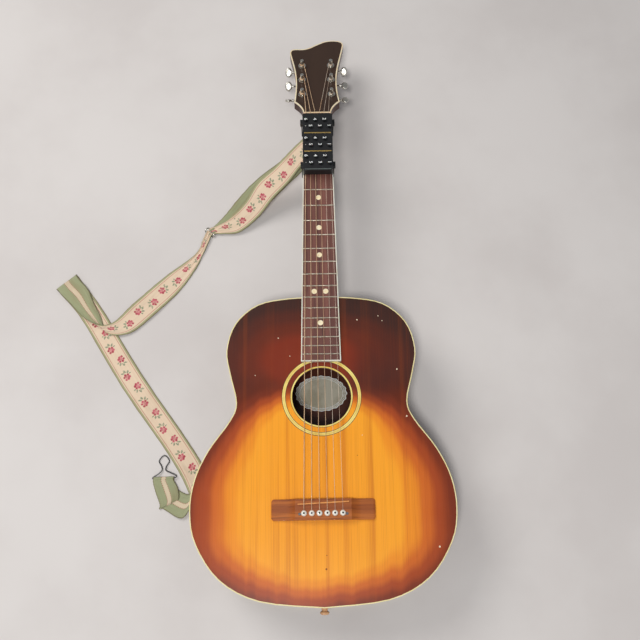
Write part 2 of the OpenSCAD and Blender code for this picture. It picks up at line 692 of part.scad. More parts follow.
module chord_button(g, k) {
    lid_low = box_top - lid_t - run;
    color([0.06, 0.06, 0.07]) translate(button_place(g, k)) rotate_extrude()
        polygon([[0, foot_low], [2.6, foot_low], [2.6, foot_low + 2], [1.6, foot_low + 2.6],
            [1.6, lid_low - 1.8], [button_r + flange_w, lid_low - 1.8], [button_r + flange_w, lid_low],
            [button_r, lid_low],
            [button_r, box_top + cap_up - 0.8], [button_r - 0.8, box_top + cap_up], [0, box_top + cap_up]]);
}
module chord_bands() {
    outer = band_in + band_t;
    color([0.13, 0.13, 0.14]) for (y = lug_y)
        translate([0, y + lug_l / 2, 0]) rotate([90, 0, 0]) linear_extrude(lug_l) difference() {
            union() {
                translate([-outer, band_low + 4 - band_t]) square([2 * outer, lug_low - band_low - 4 + band_t]);
                translate([-outer + 4, band_low - band_t]) square([2 * outer - 8, 10]);
                for (s = [-1, 1]) translate([s * (outer - 4), band_low - band_t + 4]) circle(4);
            }
            translate([-band_in, band_low + 2.5]) square([2 * band_in, 60]);
            translate([-band_in + 2.5, band_low]) square([2 * band_in - 5, 10]);
            for (s = [-1, 1]) translate([s * (band_in - 2.5), band_low + 2.5]) circle(2.5);
        }
}

// ================= strap =================
function strap_ring(i) =
    let (last = len(strap_edge_a) - 1, a = strap_edge_a[i], b = strap_edge_b[i],
        before = (strap_edge_a[max(i - 1, 0)] + strap_edge_b[max(i - 1, 0)]) / 2,
        after = (strap_edge_a[min(i + 1, last)] + strap_edge_b[min(i + 1, last)]) / 2,
        n = unit(cross(after - before, a - b)) * strap_t / 2)
    [a + n, b + n, b - n, a - n];
module strap_webbing() {
    color([0.85, 0.75, 0.62]) loft([for (i = [0 : len(strap_edge_a) - 1]) strap_ring(i)]);
}
buckle_at = [-188, 314, 3.6];
buckle_turn = 51;
buckle_wide = 20;
buckle_high = 7;
buckle_wall = 1.3;
module strap_buckle() {
    color([0.8, 0.8, 0.8]) translate(buckle_at) rotate([0, 0, buckle_turn]) difference() {
        cube([10, buckle_wide, buckle_high], center = true);
        cube([20, buckle_wide - 2 * buckle_wall, buckle_high - 2 * buckle_wall], center = true);
    }
}
module wire_hook() {
    color([0.25, 0.25, 0.27]) wire(hook_route, hook_r, 8);
}

// ================= what is drawn =================
top_plate();
back_plate();
sides();
end_blocks();
linings();
braces();
body_binding();
soundhole_rings();
paper_label();
bridge();
saddle();
bridge_pins();
bridge_bolts();
end_button();
neck();
head_veneer();
head_binding();
fingerboard();
board_binding();
frets();
position_dots();
nut();
strings();
tuner_plates();
tuner_bushings();
chord_housing();
chord_bands();
strap_webbing();
strap_buckle();
wire_hook();
for (g = [1 : 3], k = [1 : 6])
    chord_button(g - 1, k - 1);
for (i = [1 : 6]) {
    tuner_post(i - 1);
    tuner_knob(i - 1);
}
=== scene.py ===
# A worn sunburst guitar on its back, with a push-button chord box on its neck and a floral strap beside it.
import json
import math

import bmesh
import bpy
import numpy as np
from mathutils import Matrix, Vector


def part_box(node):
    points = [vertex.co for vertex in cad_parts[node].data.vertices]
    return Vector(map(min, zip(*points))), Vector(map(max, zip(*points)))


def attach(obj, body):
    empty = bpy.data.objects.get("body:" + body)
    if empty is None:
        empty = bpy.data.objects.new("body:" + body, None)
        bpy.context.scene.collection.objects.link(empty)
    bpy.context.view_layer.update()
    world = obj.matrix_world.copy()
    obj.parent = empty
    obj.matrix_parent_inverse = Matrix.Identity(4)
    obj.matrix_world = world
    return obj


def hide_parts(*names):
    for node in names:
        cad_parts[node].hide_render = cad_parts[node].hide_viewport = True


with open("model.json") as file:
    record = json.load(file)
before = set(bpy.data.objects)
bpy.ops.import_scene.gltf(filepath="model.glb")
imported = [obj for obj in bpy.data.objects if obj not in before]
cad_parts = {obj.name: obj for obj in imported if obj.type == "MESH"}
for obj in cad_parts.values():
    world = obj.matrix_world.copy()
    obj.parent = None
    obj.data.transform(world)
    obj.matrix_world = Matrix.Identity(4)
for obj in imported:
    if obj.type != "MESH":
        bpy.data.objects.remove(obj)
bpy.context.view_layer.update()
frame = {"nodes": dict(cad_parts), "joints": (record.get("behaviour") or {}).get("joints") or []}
nodes = frame["nodes"]
print("frame loaded:", len(nodes), "nodes")

mm = 0.001
fullTurn = 2 * math.pi
tilt = math.radians(12)  # the head leans back by this
headOrigin = Vector((0, 486.738, 103)) * mm


# colour and node helpers

def tone(r, g, b):
    # a colour as the eye reads it, 0-255, turned to the linear values that shaders take
    def part(c):
        c /= 255
        return c / 12.92 if c <= 0.04045 else ((c + 0.055) / 1.055) ** 2.4
    return (part(r), part(g), part(b), 1.0)


class Web:
    # a short hand for building a node tree
    def __init__(self, tree):
        self.tree = tree

    def node(self, kind, **values):
        # each value goes into the socket of that name, or else is a setting of the node
        made = self.tree.nodes.new(kind)
        for key, value in values.items():
            label = key.replace("_", " ")
            if label in made.inputs:
                self.plug(value, made.inputs[label])
            else:
                setattr(made, key, value)
        return made

    def plug(self, value, socket):
        if isinstance(value, bpy.types.NodeSocket):
            self.tree.links.new(value, socket)
        elif value is not None:
            socket.default_value = value

    def math(self, kind, *values):
        made = self.node("ShaderNodeMath", operation=kind)
        for value, socket in zip(values, made.inputs):
            self.plug(value, socket)
        return made.outputs[0]

    def vector(self, x, y, z=0.0):
        return self.node("ShaderNodeCombineXYZ", X=x, Y=y, Z=z).outputs[0]

    def away(self, x, y):
        # how far from the point where both are 0
        return self.root(self.add(self.mul(x, x), self.mul(y, y)))


# a short word for each of the sums in use
sums = {"add": "ADD", "sub": "SUBTRACT", "mul": "MULTIPLY", "over": "DIVIDE", "power": "POWER",
        "most": "MAXIMUM", "size": "ABSOLUTE", "root": "SQRT", "wave": "SINE", "whole": "FLOOR"}
for word, kind in sums.items():
    setattr(Web, word, lambda self, *values, kind=kind: self.math(kind, *values))


class Weave(Web):
    # one material's tree; a colour given as three numbers is as the eye reads it
    def __init__(self, name):
        self.material = bpy.data.materials.new(name)
        self.material.use_nodes = True
        super().__init__(self.material.node_tree)
        self.tree.nodes.clear()
        self.output = self.tree.nodes.new("ShaderNodeOutputMaterial")

    def ramp01(self, value, start, end):
        # 0 before start, 1 past end, smooth between
        falls = int(start > end)
        made = self.node("ShaderNodeMapRange", interpolation_type="SMOOTHSTEP", Value=value,
                         From_Min=min(start, end), From_Max=max(start, end), To_Min=falls, To_Max=1 - falls)
        return made.outputs["Result"]

    def place(self):
        at = self.node("ShaderNodeTexCoord").outputs["Object"]
        return self.node("ShaderNodeSeparateXYZ", Vector=at).outputs

    def surfaceUv(self):
        at = self.node("ShaderNodeUVMap").outputs["UV"]
        return self.node("ShaderNodeSeparateXYZ", Vector=at).outputs

    def noise(self, scale, at=None, stretch=(1, 1, 1), detail=4.0, rough=0.55, shift=0.0):
        at = at or self.node("ShaderNodeTexCoord").outputs["Object"]
        mapping = self.node("ShaderNodeMapping", Vector=at, Scale=stretch,
                            Location=(shift, shift * 0.7, shift * 1.3))
        made = self.node("ShaderNodeTexNoise", Vector=mapping.outputs[0], Scale=scale, Detail=detail,
                         Roughness=rough)
        return made.outputs["Fac"]

    def blend(self, share, a, b):
        made = self.node("ShaderNodeMix", data_type="RGBA")
        for value, socket in ((share, 0), (a, 6), (b, 7)):
            self.plug(tone(*value) if isinstance(value, tuple) else value, made.inputs[socket])
        return made.outputs[2]

    def tint(self, colour, value, start, end, share, shade):
        # lays a shade over a colour as a value goes from start to end
        return self.blend(self.mul(self.ramp01(value, start, end), share), colour, shade)

    def steps(self, value, stops):
        # each stop is a position and a colour
        made = self.node("ShaderNodeValToRGB", Fac=value)
        made.color_ramp.interpolation = "EASE"
        points = made.color_ramp.elements
        stops = [(position, tone(*colour)) for position, *colour in stops]
        points[0].position, points[0].color = stops[0]
        points[1].position, points[1].color = stops[-1]
        for position, colour in stops[1:-1]:
            points.new(position).color = colour
        return made.outputs["Color"]

    def bump(self, height, depth, strength=0.6, under=None):
        made = self.node("ShaderNodeBump", Strength=strength, Distance=depth, Height=height, Normal=under)
        return made.outputs["Normal"]

    def softEdge(self, radius):
        return self.node("ShaderNodeBevel", samples=4, Radius=radius).outputs["Normal"]

    def edgeWear(self, radius):
        # 1 along the outer edges, 0 on the flats
        given = self.node("ShaderNodeNewGeometry").outputs["Normal"]
        dot = self.node("ShaderNodeVectorMath", operation="DOT_PRODUCT")
        self.plug(self.softEdge(radius), dot.inputs[0])
        self.plug(given, dot.inputs[1])
        return self.ramp01(dot.outputs["Value"], 0.985, 0.86)

    def finish(self, colour, rough, normal=None, **values):
        shader = self.node("ShaderNodeBsdfPrincipled", Base_Color=colour, Roughness=rough, Normal=normal,
                           **values)
        self.tree.links.new(shader.outputs[0], self.output.inputs["Surface"])
        return self.material


# wood

topLook = {
    # the amber: its middle line, where it begins to narrow towards the tail, and the body's half widths
    "middleX": -0.003, "tailY": -0.198, "tailReach": 0.11, "waistY": -0.004, "fullY": -0.15,
    "waistHalf": 0.130, "lowerHalf": 0.196, "neckward": (-0.075, 0.05),
    "amber": [(0.0, 240, 155, 38), (0.40, 243, 160, 42), (0.47, 232, 141, 38), (0.55, 200, 101, 36),
              (0.62, 160, 69, 32), (0.70, 116, 47, 27), (0.80, 96, 39, 23), (1.0, 82, 35, 24)],
    # the dark of the upper bout, and where one turns into the other
    "upperMiddle": (-0.012, 0.055), "upperHalf": 0.146, "upperReach": 0.085, "meeting": (-0.008, 0.04),
    "dark": [(0.0, 128, 50, 30), (0.30, 122, 46, 28), (0.45, 100, 43, 29), (0.60, 82, 40, 31),
             (0.75, 62, 38, 33), (1.0, 50, 34, 31)],
    "cloud": (0.078, 0.035),
    # chips and knots: place and radius in mm
    "chips": [(-66, 93, 0.9), (-48, 64, 0.7), (57, 121, 1.0), (90, 127, 0.8), (96, 119, 0.7),
              (116, 41, 1.1), (128, -32, 1.2), (167, -223, 1.4), (-101, 34, 0.7), (60, -60, 0.6)],
    "knots": [(3, -252, 1.5), (4, -233, 0.8), (52, -90, 0.7)],
}


def sunburstTop():
    w = Weave("sunburstTop")
    x, y, z = w.place()
    wander = w.sub(w.noise(9, stretch=(1, 0.45, 1), detail=3), 0.5)
    # half width of the body beside a point, from waist to lower bout
    share = w.ramp01(y, topLook["waistY"], topLook["fullY"])
    half = w.add(topLook["waistHalf"], w.mul(share, topLook["lowerHalf"] - topLook["waistHalf"]))
    across = w.power(w.over(w.size(w.sub(x, topLook["middleX"])), half), 2.0)
    below = w.over(w.sub(topLook["tailY"], y), topLook["tailReach"])
    below = w.power(w.most(below, 0.0), 2.0)
    above = w.power(w.mul(w.ramp01(y, *topLook["neckward"]), 1.1), 2.0)
    lower = w.root(w.add(across, w.add(below, above)))
    grainWander = w.sub(w.noise(1.0, stretch=(70, 2.2, 1), detail=3, shift=13.0), 0.5)
    lower = w.add(lower, w.add(w.mul(wander, 0.12), w.mul(grainWander, 0.12)))
    # the upper bout: red brown, darker to the shoulders
    ux = w.over(w.sub(x, topLook["upperMiddle"][0]), topLook["upperHalf"])
    uy = w.over(w.sub(y, topLook["upperMiddle"][1]), topLook["upperReach"])
    upper = w.add(w.away(ux, uy), w.mul(wander, 0.3))
    rise = w.ramp01(w.add(y, w.mul(wander, 0.03)), *topLook["meeting"])
    colour = w.blend(rise, w.steps(w.mul(lower, 0.7), topLook["amber"]),
                     w.steps(w.mul(upper, 0.7), topLook["dark"]))
    # a smoky cloud beside the soundhole
    cloudX, cloudY = topLook["cloud"]
    cloud = w.away(w.mul(w.sub(x, cloudX), 26), w.mul(w.sub(y, cloudY), 17))
    colour = w.tint(colour, cloud, 1.25, 0.2, 0.55, (66, 36, 32))
    # spruce grain under the finish: fine lines and broader streaks
    fine = w.noise(1.0, stretch=(420, 5, 1), detail=5, rough=0.7)
    streak = w.noise(1.0, stretch=(75, 1.2, 1), detail=3, rough=0.6, shift=3.1)
    lines = w.wave(w.mul(w.add(x, w.mul(w.noise(2.2, stretch=(1, 0.6, 1), detail=2), 0.012)), 2700))
    lines = w.ramp01(lines, 0.2, 1.0)
    light = w.ramp01(lower, 1.15, 0.35)
    colour = w.tint(colour, streak, 0.38, 0.62, w.mul(lines, w.add(0.10, w.mul(light, 0.16))), (150, 66, 22))
    colour = w.tint(colour, streak, 0.52, 0.72, w.add(0.10, w.mul(light, 0.30)), (176, 84, 26))
    colour = w.tint(colour, fine, 0.45, 0.8, 0.22, (120, 52, 24))
    for cx, cy, r in topLook["knots"]:
        spot = w.away(w.sub(x, cx * mm), w.sub(y, cy * mm))
        colour = w.tint(colour, spot, r * 1.3 * mm, r * 0.3 * mm, 1, (96, 40, 18))
    edgeNoise = w.mul(w.sub(w.noise(900, detail=2), 0.5), 1.6 * mm)
    chips = 0.0
    for cx, cy, r in topLook["chips"]:
        spot = w.add(w.away(w.sub(x, cx * mm), w.sub(y, cy * mm)), edgeNoise)
        chips = w.most(w.ramp01(spot, (r + 0.15) * mm, (r - 0.15) * mm), chips)
    colour = w.blend(chips, colour, (226, 206, 178))
    rough = w.add(0.24, w.mul(w.noise(60, detail=3, shift=2.0), 0.14))
    height = w.sub(w.add(w.mul(fine, 0.5), w.mul(lines, 0.3)), w.mul(chips, 3.0))
    return w.finish(colour, rough, w.bump(height, 0.00006, 0.5), Coat_Weight=0.18, Coat_Roughness=0.12,
                    Specular_IOR_Level=0.18)


def glossWood(name, base, dark, light, stretch, wear, rough=0.3, streaks=0.5):
    # stained and lacquered hardwood, its grain along the axis with the smallest stretch
    w = Weave(name)
    broad = w.noise(1.0, stretch=[s * 0.12 for s in stretch], detail=4, shift=1.7)
    pores = w.noise(1.0, stretch=stretch, detail=4, rough=0.7, shift=5.1)
    colour = w.tint(base, broad, 0.35, 0.68, streaks, dark)
    colour = w.tint(colour, pores, 0.55, 0.78, 0.5, dark)
    colour = w.tint(colour, broad, 0.62, 0.8, 0.4, light)
    haze = w.noise(22, detail=4, shift=9.0)
    colour = w.tint(colour, haze, 0.45, 0.65, w.mul(w.edgeWear(0.0015), wear), light)
    normal = w.bump(pores, 0.00008, 0.4, w.softEdge(0.0006))
    return w.finish(colour, w.add(rough, w.mul(haze, 0.16)), normal, Coat_Weight=0.25, Coat_Roughness=0.15,
                    Specular_IOR_Level=0.22)


def bareWood():
    w = Weave("bareSpruce")
    grain = w.noise(1.0, stretch=(6, 320, 320), detail=4, rough=0.7)
    colour = w.blend(w.ramp01(grain, 0.4, 0.7), (120, 84, 52), (84, 54, 32))
    colour = w.tint(colour, w.noise(18, detail=4, shift=2.0), 0.5, 0.75, 0.5, (52, 36, 24))  # dust and age
    return w.finish(colour, 0.78, w.bump(grain, 0.0002, 0.5))


def rosewood(name, base, dark, red, *stretch):
    w = Weave(name)
    pores = w.noise(1.0, stretch=stretch, detail=5, rough=0.75)
    figure = w.noise(1.0, stretch=[s * 0.16 for s in stretch], detail=4, shift=4.0)
    colour = w.blend(w.ramp01(figure, 0.35, 0.66), base, red)
    colour = w.tint(colour, pores, 0.5, 0.72, 0.75, dark)
    colour = w.tint(colour, figure, 0.6, 0.78, 0.5, dark)
    worn = w.mul(w.edgeWear(0.0008), w.ramp01(w.noise(90, detail=3), 0.4, 0.65))
    colour = w.blend(w.mul(worn, 0.35), colour, red)
    height = w.sub(1.0, w.ramp01(pores, 0.5, 0.72))
    return w.finish(colour, w.add(0.42, w.mul(pores, 0.2)), w.bump(height, 0.00015, 0.5, w.softEdge(0.0007)),
                    Coat_Weight=0.1, Coat_Roughness=0.3, Specular_IOR_Level=0.25)


# plastic, metal and paper

def agedPlastic(name, base, yellow, grime, rough=0.35, grimeShare=0.5, scale=60):
    w = Weave(name)
    patch = w.noise(scale, detail=4)
    speck = w.noise(scale * 14, detail=3, shift=3.0)
    colour = w.blend(w.ramp01(patch, 0.35, 0.7), base, yellow)
    colour = w.tint(colour, speck, 0.58, 0.72, grimeShare, grime)
    normal = w.bump(patch, 0.0001, 0.3, w.softEdge(0.0005))
    return w.finish(colour, w.add(rough, w.mul(speck, 0.15)), normal, Subsurface_Weight=0.05,
                    Subsurface_Scale=0.002, Coat_Weight=0.15)


# radius and half width, in mm, of the dark lines that border the soundhole's rings
ringLines = ((44.6, 0.5), (47.7, 0.75), (54.7, 0.8), (60.7, 0.9))


def ringInlay():
    # celluloid rings with dark border lines and faint short segments
    w = Weave("ringInlay")
    x, y, z = w.place()
    r = w.away(x, y)
    segment = w.wave(w.mul(w.math("ARCTAN2", y, x), 150))
    colour = w.blend(w.ramp01(w.noise(40, detail=4), 0.35, 0.7), (240, 222, 128), (222, 186, 84))
    colour = w.tint(colour, segment, 0.55, 0.95, 0.16, (186, 140, 60))
    for at, wide in ringLines:
        colour = w.tint(colour, w.size(w.sub(r, at * mm)), wide * mm, (wide - 0.25) * mm, 1, (64, 42, 26))
    colour = w.tint(colour, w.size(w.sub(r, 57.7 * mm)), 0.45 * mm, 0.2 * mm, 0.35, (150, 116, 52))
    return w.finish(colour, 0.32, Coat_Weight=0.4, Coat_Roughness=0.15)


def metal(name, base, dark, rough, tarnish=0.5, scale=160, brushed=None):
    w = Weave(name)
    patch = w.noise(scale, detail=5, rough=0.65)
    colour = w.tint(base, patch, 0.42, 0.7, tarnish, dark)
    height = patch
    if brushed:
        height = w.noise(1.0, stretch=brushed, detail=3, shift=6.0)
        colour = w.blend(w.mul(height, 0.2), colour, dark)
    roughness = w.add(rough, w.mul(w.ramp01(patch, 0.4, 0.75), 0.3))
    return w.finish(colour, roughness, w.bump(height, 0.00005, 0.35, w.softEdge(0.0004)), Metallic=1.0)


def stringMetal():
    # wound bass strings are tarnished bronze, the two thin trebles plain steel
    w = Weave("stringMetal")
    x, y, z = w.place()
    onHead = w.ramp01(y, 0.49, 0.491)
    wound = w.most(w.ramp01(x, 0.0085, 0.0080), w.mul(onHead, w.ramp01(x, 0.001, 0.0)))
    patch = w.noise(120, stretch=(1, 0.3, 1), detail=4)
    bronze = w.blend(w.ramp01(patch, 0.35, 0.7), (226, 192, 156), (190, 150, 116))
    steel = w.blend(w.ramp01(patch, 0.4, 0.7), (226, 208, 190), (196, 168, 146))
    wraps = w.wave(w.mul(y, 9000))
    return w.finish(w.blend(wound, steel, bronze), 0.42, w.bump(w.mul(wraps, wound), 0.00012, 0.5),
                    Metallic=0.4)


def blackPlastic(name, base, rough, scratchShare=0.25, edge=0.0006):
    w = Weave(name)
    dust = w.noise(240, detail=5, rough=0.7)
    smear = w.noise(26, detail=3, shift=3.0)
    scratch = w.noise(1.0, stretch=(1400, 90, 300), detail=2, shift=8.0)
    colour = w.tint(base, dust, 0.6, 0.75, 0.16, (130, 126, 120))
    colour = w.tint(colour, scratch, 0.66, 0.76, scratchShare, (104, 102, 100))
    colour = w.blend(w.mul(w.edgeWear(edge * 1.5), 0.30), colour, (96, 96, 96))
    return w.finish(colour, w.add(rough, w.mul(smear, 0.22)), w.bump(dust, 0.00004, 0.3, w.softEdge(edge)),
                    Specular_IOR_Level=0.3)


def labelPaper():
    w = Weave("labelPaper")
    fibre = w.noise(700, detail=4)
    blot = w.noise(34, detail=4, shift=5.0)
    colour = w.blend(w.ramp01(blot, 0.35, 0.7), (202, 196, 176), (174, 166, 142))
    colour = w.tint(colour, fibre, 0.5, 0.7, 0.3, (214, 210, 194))
    return w.finish(colour, 0.6, w.bump(fibre, 0.0001, 0.5))


def goldStrip():
    w = Weave("goldStrip")
    patch = w.noise(300, detail=4)
    return w.finish(w.blend(w.mul(patch, 0.5), (206, 172, 100), (90, 84, 70)), w.add(0.3, w.mul(patch, 0.2)),
                    w.bump(patch, 0.00004, 0.3), Metallic=1.0)


# woven strap

strapLook = {
    "width": 0.038, "thick": 1.3 * mm, "stepsAcross": 14, "stepsBetween": 9, "pleats": 2.5,
    "repeat": 0.0272, "offset": 0.0034, "thread": 0.00062, "roseDrop": 0.0026,
    # each petal's angle, distance from the middle and radius
    "petals": [(0.3, 0.0044, 0.0019), (1.3, 0.0042, 0.0022), (2.4, 0.0046, 0.0020), (3.4, 0.0042, 0.0023),
               (4.4, 0.0038, 0.0021), (5.4, 0.0045, 0.0020), (0.0, 0.0, 0.0024)],
    # each leaf's place, angle, length and width, the last one being the stem
    "leaves": [(-0.0052, 0.0050, 2.3, 0.0030, 0.0016), (-0.0010, 0.0078, 1.3, 0.0032, 0.0015),
               (0.0038, 0.0062, 0.5, 0.0030, 0.0014), (-0.0075, 0.0015, 2.9, 0.0022, 0.0011),
               (0.0010, 0.0056, 1.6, 0.0040, 0.0006)],
    # each border line's distance from the middle, half width, colour and strength
    "borders": [(0.0128, 0.00035, (190, 104, 92), 0.8), (0.0139, 0.0003, (176, 150, 104), 0.5)],
    # painted shadow: dark spots at the strap's far fold and one near the buckle, each a place and radius
    "paintedShadowSpots": [(-0.447, 0.205, 0.007), (-0.440, 0.196, 0.0045), (-0.436, 0.188, 0.003),
               (-0.146, 0.337, 0.003)],
}


def leafMask(w, lx, ly, cx, cy, angle, length, wide):
    # a pointed oval set at an angle
    dx, dy = w.sub(lx, cx), w.sub(ly, cy)
    c, s = math.cos(angle), math.sin(angle)
    along = w.add(w.mul(dx, c), w.mul(dy, s))
    side = w.sub(w.mul(dy, c), w.mul(dx, s))
    far = w.add(w.power(w.size(w.mul(along, 1 / length)), 1.6), w.power(w.size(w.mul(side, 1 / wide)), 1.2))
    return w.ramp01(far, 1.15, 0.85)


def clothGrid(w):
    # along and across the ribbon, both also snapped to its threads, and the distance from its middle line
    def snapped(value, step):
        return w.mul(w.whole(w.add(w.mul(value, 1 / step), 0.5)), step)

    u, v, _ = w.surfaceUv()
    across = w.mul(w.sub(u, 0.5), strapLook["width"])
    sx, sy = snapped(across, strapLook["thread"]), snapped(v, strapLook["thread"])
    return u, v, across, sx, sy, w.size(sx)


def strapFace():
    w = Weave("strapFace")
    u, v, across, sx, sy, edge = clothGrid(w)
    cell = w.whole(w.mul(sy, 1 / strapLook["repeat"]))
    way = w.sub(w.mul(w.math("MODULO", w.size(cell), 2.0), 2.0), 1.0)  # -1 or 1
    ly = w.sub(sy, w.mul(w.add(cell, 0.5), strapLook["repeat"]))
    lx = w.sub(sx, w.mul(way, strapLook["offset"]))
    # every other spray is turned about
    px, py = w.mul(lx, way), w.mul(ly, way)
    fuzz = w.noise(1.0, at=w.vector(w.mul(sx, 1500), w.mul(sy, 1500)), detail=1)
    colour = w.blend(w.noise(16, at=w.vector(u, v), detail=3), (244, 222, 196), (230, 202, 172))
    leaves = 0.0
    for leaf in strapLook["leaves"]:
        leaves = w.most(leafMask(w, px, py, *leaf), leaves)
    colour = w.blend(w.mul(leaves, w.ramp01(fuzz, 0.3, 0.5)), colour, (132, 146, 116))
    # a rose of blots round a paler middle, worn away in places
    rose, drop = 0.0, strapLook["roseDrop"]
    for turn, out, size in strapLook["petals"]:
        far = w.away(w.sub(px, out * math.cos(turn)), w.sub(py, out * math.sin(turn) - drop))
        rose = w.most(w.ramp01(far, size + 0.0003, size - 0.0004), rose)
    worn = w.noise(1.0, at=w.vector(w.mul(sx, 300), w.mul(sy, 220)), detail=3, shift=6.0)
    roseTone = w.blend(w.ramp01(worn, 0.42, 0.58), (176, 54, 74), (212, 104, 118))
    roseTone = w.tint(roseTone, w.away(px, w.add(py, drop)), 0.0030, 0.0012, 0.55, (232, 176, 166))
    colour = w.blend(w.mul(rose, w.ramp01(fuzz, 0.16, 0.34)), colour, roseTone)
    # thin red brown lines and green selvedges
    for at, wide, shade, share in strapLook["borders"]:
        colour = w.tint(colour, w.size(w.sub(edge, at)), wide + 0.0001, wide - 0.0001, share, shade)
    green = w.blend(w.noise(26, at=w.vector(u, v), detail=3), (190, 186, 142), (150, 154, 116))
    colour = w.blend(w.ramp01(edge, 0.0148, 0.0158), colour, green)
    colour = w.tint(colour, edge, 0.0176, 0.0182, 0.7, (150, 128, 88))
    return clothFinish(w, colour, across, v)


def strapReverse():
    w = Weave("strapReverse")
    u, v, across, sx, sy, edge = clothGrid(w)
    sage = w.blend(w.noise(20, at=w.vector(u, v), detail=4), (176, 178, 140), (146, 152, 114))
    colour = w.blend(w.ramp01(edge, 0.0042, 0.0036), sage, (226, 206, 176))
    dots = w.ramp01(w.wave(w.mul(sy, fullTurn / 0.0031)), -0.2, 0.3)
    colour = w.tint(colour, w.size(w.sub(edge, 0.0040)), 0.0006, 0.0003, dots, (168, 96, 78))
    colour = w.tint(colour, edge, 0.0172, 0.0178, 1, (132, 128, 92))
    return clothFinish(w, colour, across, v)


def clothFinish(w, colour, across, along):
    # the finish both faces share: weave with a painted highlight on its raised threads, soil in patches and
    # painted shadow in dark spots at the double fold
    weave = w.mul(*[w.wave(w.mul(value, fullTurn / strapLook["thread"])) for value in (across, along)])
    soil = w.noise(1.0, at=w.vector(w.mul(across, 40), w.mul(along, 14)), detail=5, shift=2.0)
    colour = w.tint(colour, soil, 0.5, 0.75, 0.30, (150, 122, 86))
    x, y, z = w.place()
    # painted shadow: each listed spot is darkened to a deep olive brown
    for cx, cy, r in strapLook["paintedShadowSpots"]:
        spot = w.add(w.away(w.sub(x, cx), w.sub(y, cy)), w.mul(soil, 0.006))
        colour = w.tint(colour, spot, r + 0.003, r, 0.75, (66, 58, 40))
    # painted highlight: the raised threads of the weave are made paler
    colour = w.tint(colour, weave, 0.2, 1.0, 0.10, (250, 240, 222))
    return w.finish(colour, 0.86, w.bump(weave, 0.00022, 0.6), Sheen_Weight=0.25, Sheen_Roughness=0.5,
                    Specular_IOR_Level=0.25)


print("helpers ready")

# materials on the carried-over nodes

looks = {
    "top": sunburstTop(),
    "dark": glossWood("darkLacquer", (70, 34, 24), (40, 22, 18), (112, 54, 34), (130, 8, 130),
                      wear=0.5),
    "back": glossWood("backLacquer", (84, 40, 26), (50, 26, 19), (128, 64, 38), (150, 7, 150),
                      wear=0.3),
    "bare": bareWood(),
    "cream": agedPlastic("agedCream", (232, 220, 168), (224, 206, 144), (150, 128, 82)),
    "headCream": agedPlastic("headCream", (240, 226, 196), (230, 208, 168), (160, 134, 96)),
    "boardEdge": agedPlastic("boardEdge", (226, 226, 214), (214, 208, 186), (150, 142, 122)),
    "nut": agedPlastic("agedBone", (230, 206, 172), (220, 184, 142), (150, 112, 76), scale=140),
    "rings": ringInlay(),
    "label": labelPaper(),
    "bridge": rosewood("bridgeRosewood", (142, 72, 26), (66, 30, 16), (176, 98, 38), 12, 420, 60),
    "board": rosewood("boardRosewood", (98, 62, 56), (52, 32, 30), (128, 82, 72), 620, 16, 60),
    "face": glossWood("headFace", (60, 43, 33), (42, 30, 24), (78, 54, 38), (160, 9, 160),
                      rough=0.34, streaks=0.35, wear=0.25),
    "saddle": agedPlastic("amberSaddle", (214, 140, 62), (190, 112, 46), (120, 66, 30), scale=140),
    "pins": agedPlastic("whitePins", (240, 238, 230), (226, 220, 204), (170, 160, 140), rough=0.28,
                        grimeShare=0.25, scale=260),
    "dots": agedPlastic("pearlDots", (250, 238, 206), (236, 216, 172), (196, 170, 120), rough=0.25,
                        grimeShare=0.2, scale=220),
    "peach": agedPlastic("peachButton", (228, 178, 132), (206, 146, 98), (140, 92, 60), scale=150),
    "frets": metal("fretMetal", (208, 202, 184), (150, 136, 108), rough=0.3, scale=240),
    "strings": stringMetal(),
    "nickel": metal("agedNickel", (206, 204, 196), (132, 118, 96), rough=0.22, tarnish=0.6, scale=190),
    "knobs": metal("polishedNickel", (206, 203, 195), (160, 148, 130), rough=0.3, tarnish=0.35, scale=170),
    "plates": metal("plateNickel", (186, 182, 172), (112, 98, 78), rough=0.3, tarnish=0.75, scale=110,
                    brushed=(40, 900, 900)),
    "bolts": metal("darkBolts", (96, 96, 98), (48, 44, 40), rough=0.4, scale=300),
    "hook": metal("hookWire", (104, 104, 104), (62, 54, 48), rough=0.36, scale=320),
    "case": blackPlastic("blackCase", (26, 27, 29), 0.32),
    "bands": blackPlastic("blackBands", (34, 34, 34), 0.42),
    "button": blackPlastic("blackButton", (16, 16, 18), 0.2, 0.15, 0.0004),
    "numberPaint": agedPlastic("numberPaint", (242, 242, 240), (226, 226, 222), (150, 148, 144),
                               scale=300),
    "gold": goldStrip(),
    "darkInlay": blackPlastic("darkInlay", (24, 22, 22), 0.3),
    "lip": agedPlastic("greyLip", (96, 104, 100), (70, 76, 76), (40, 42, 42), scale=200),
    # white for the label's printed border lines and for the painted highlight along its rim
    "labelLine": agedPlastic("labelLine", (252, 252, 252), (244, 243, 240), (214, 212, 204), scale=300),
    "thread": agedPlastic("brownThread", (122, 82, 62), (98, 62, 48), (60, 40, 32), rough=0.8, scale=500),
    "strapFace": strapFace(),
    "strapReverse": strapReverse(),
}
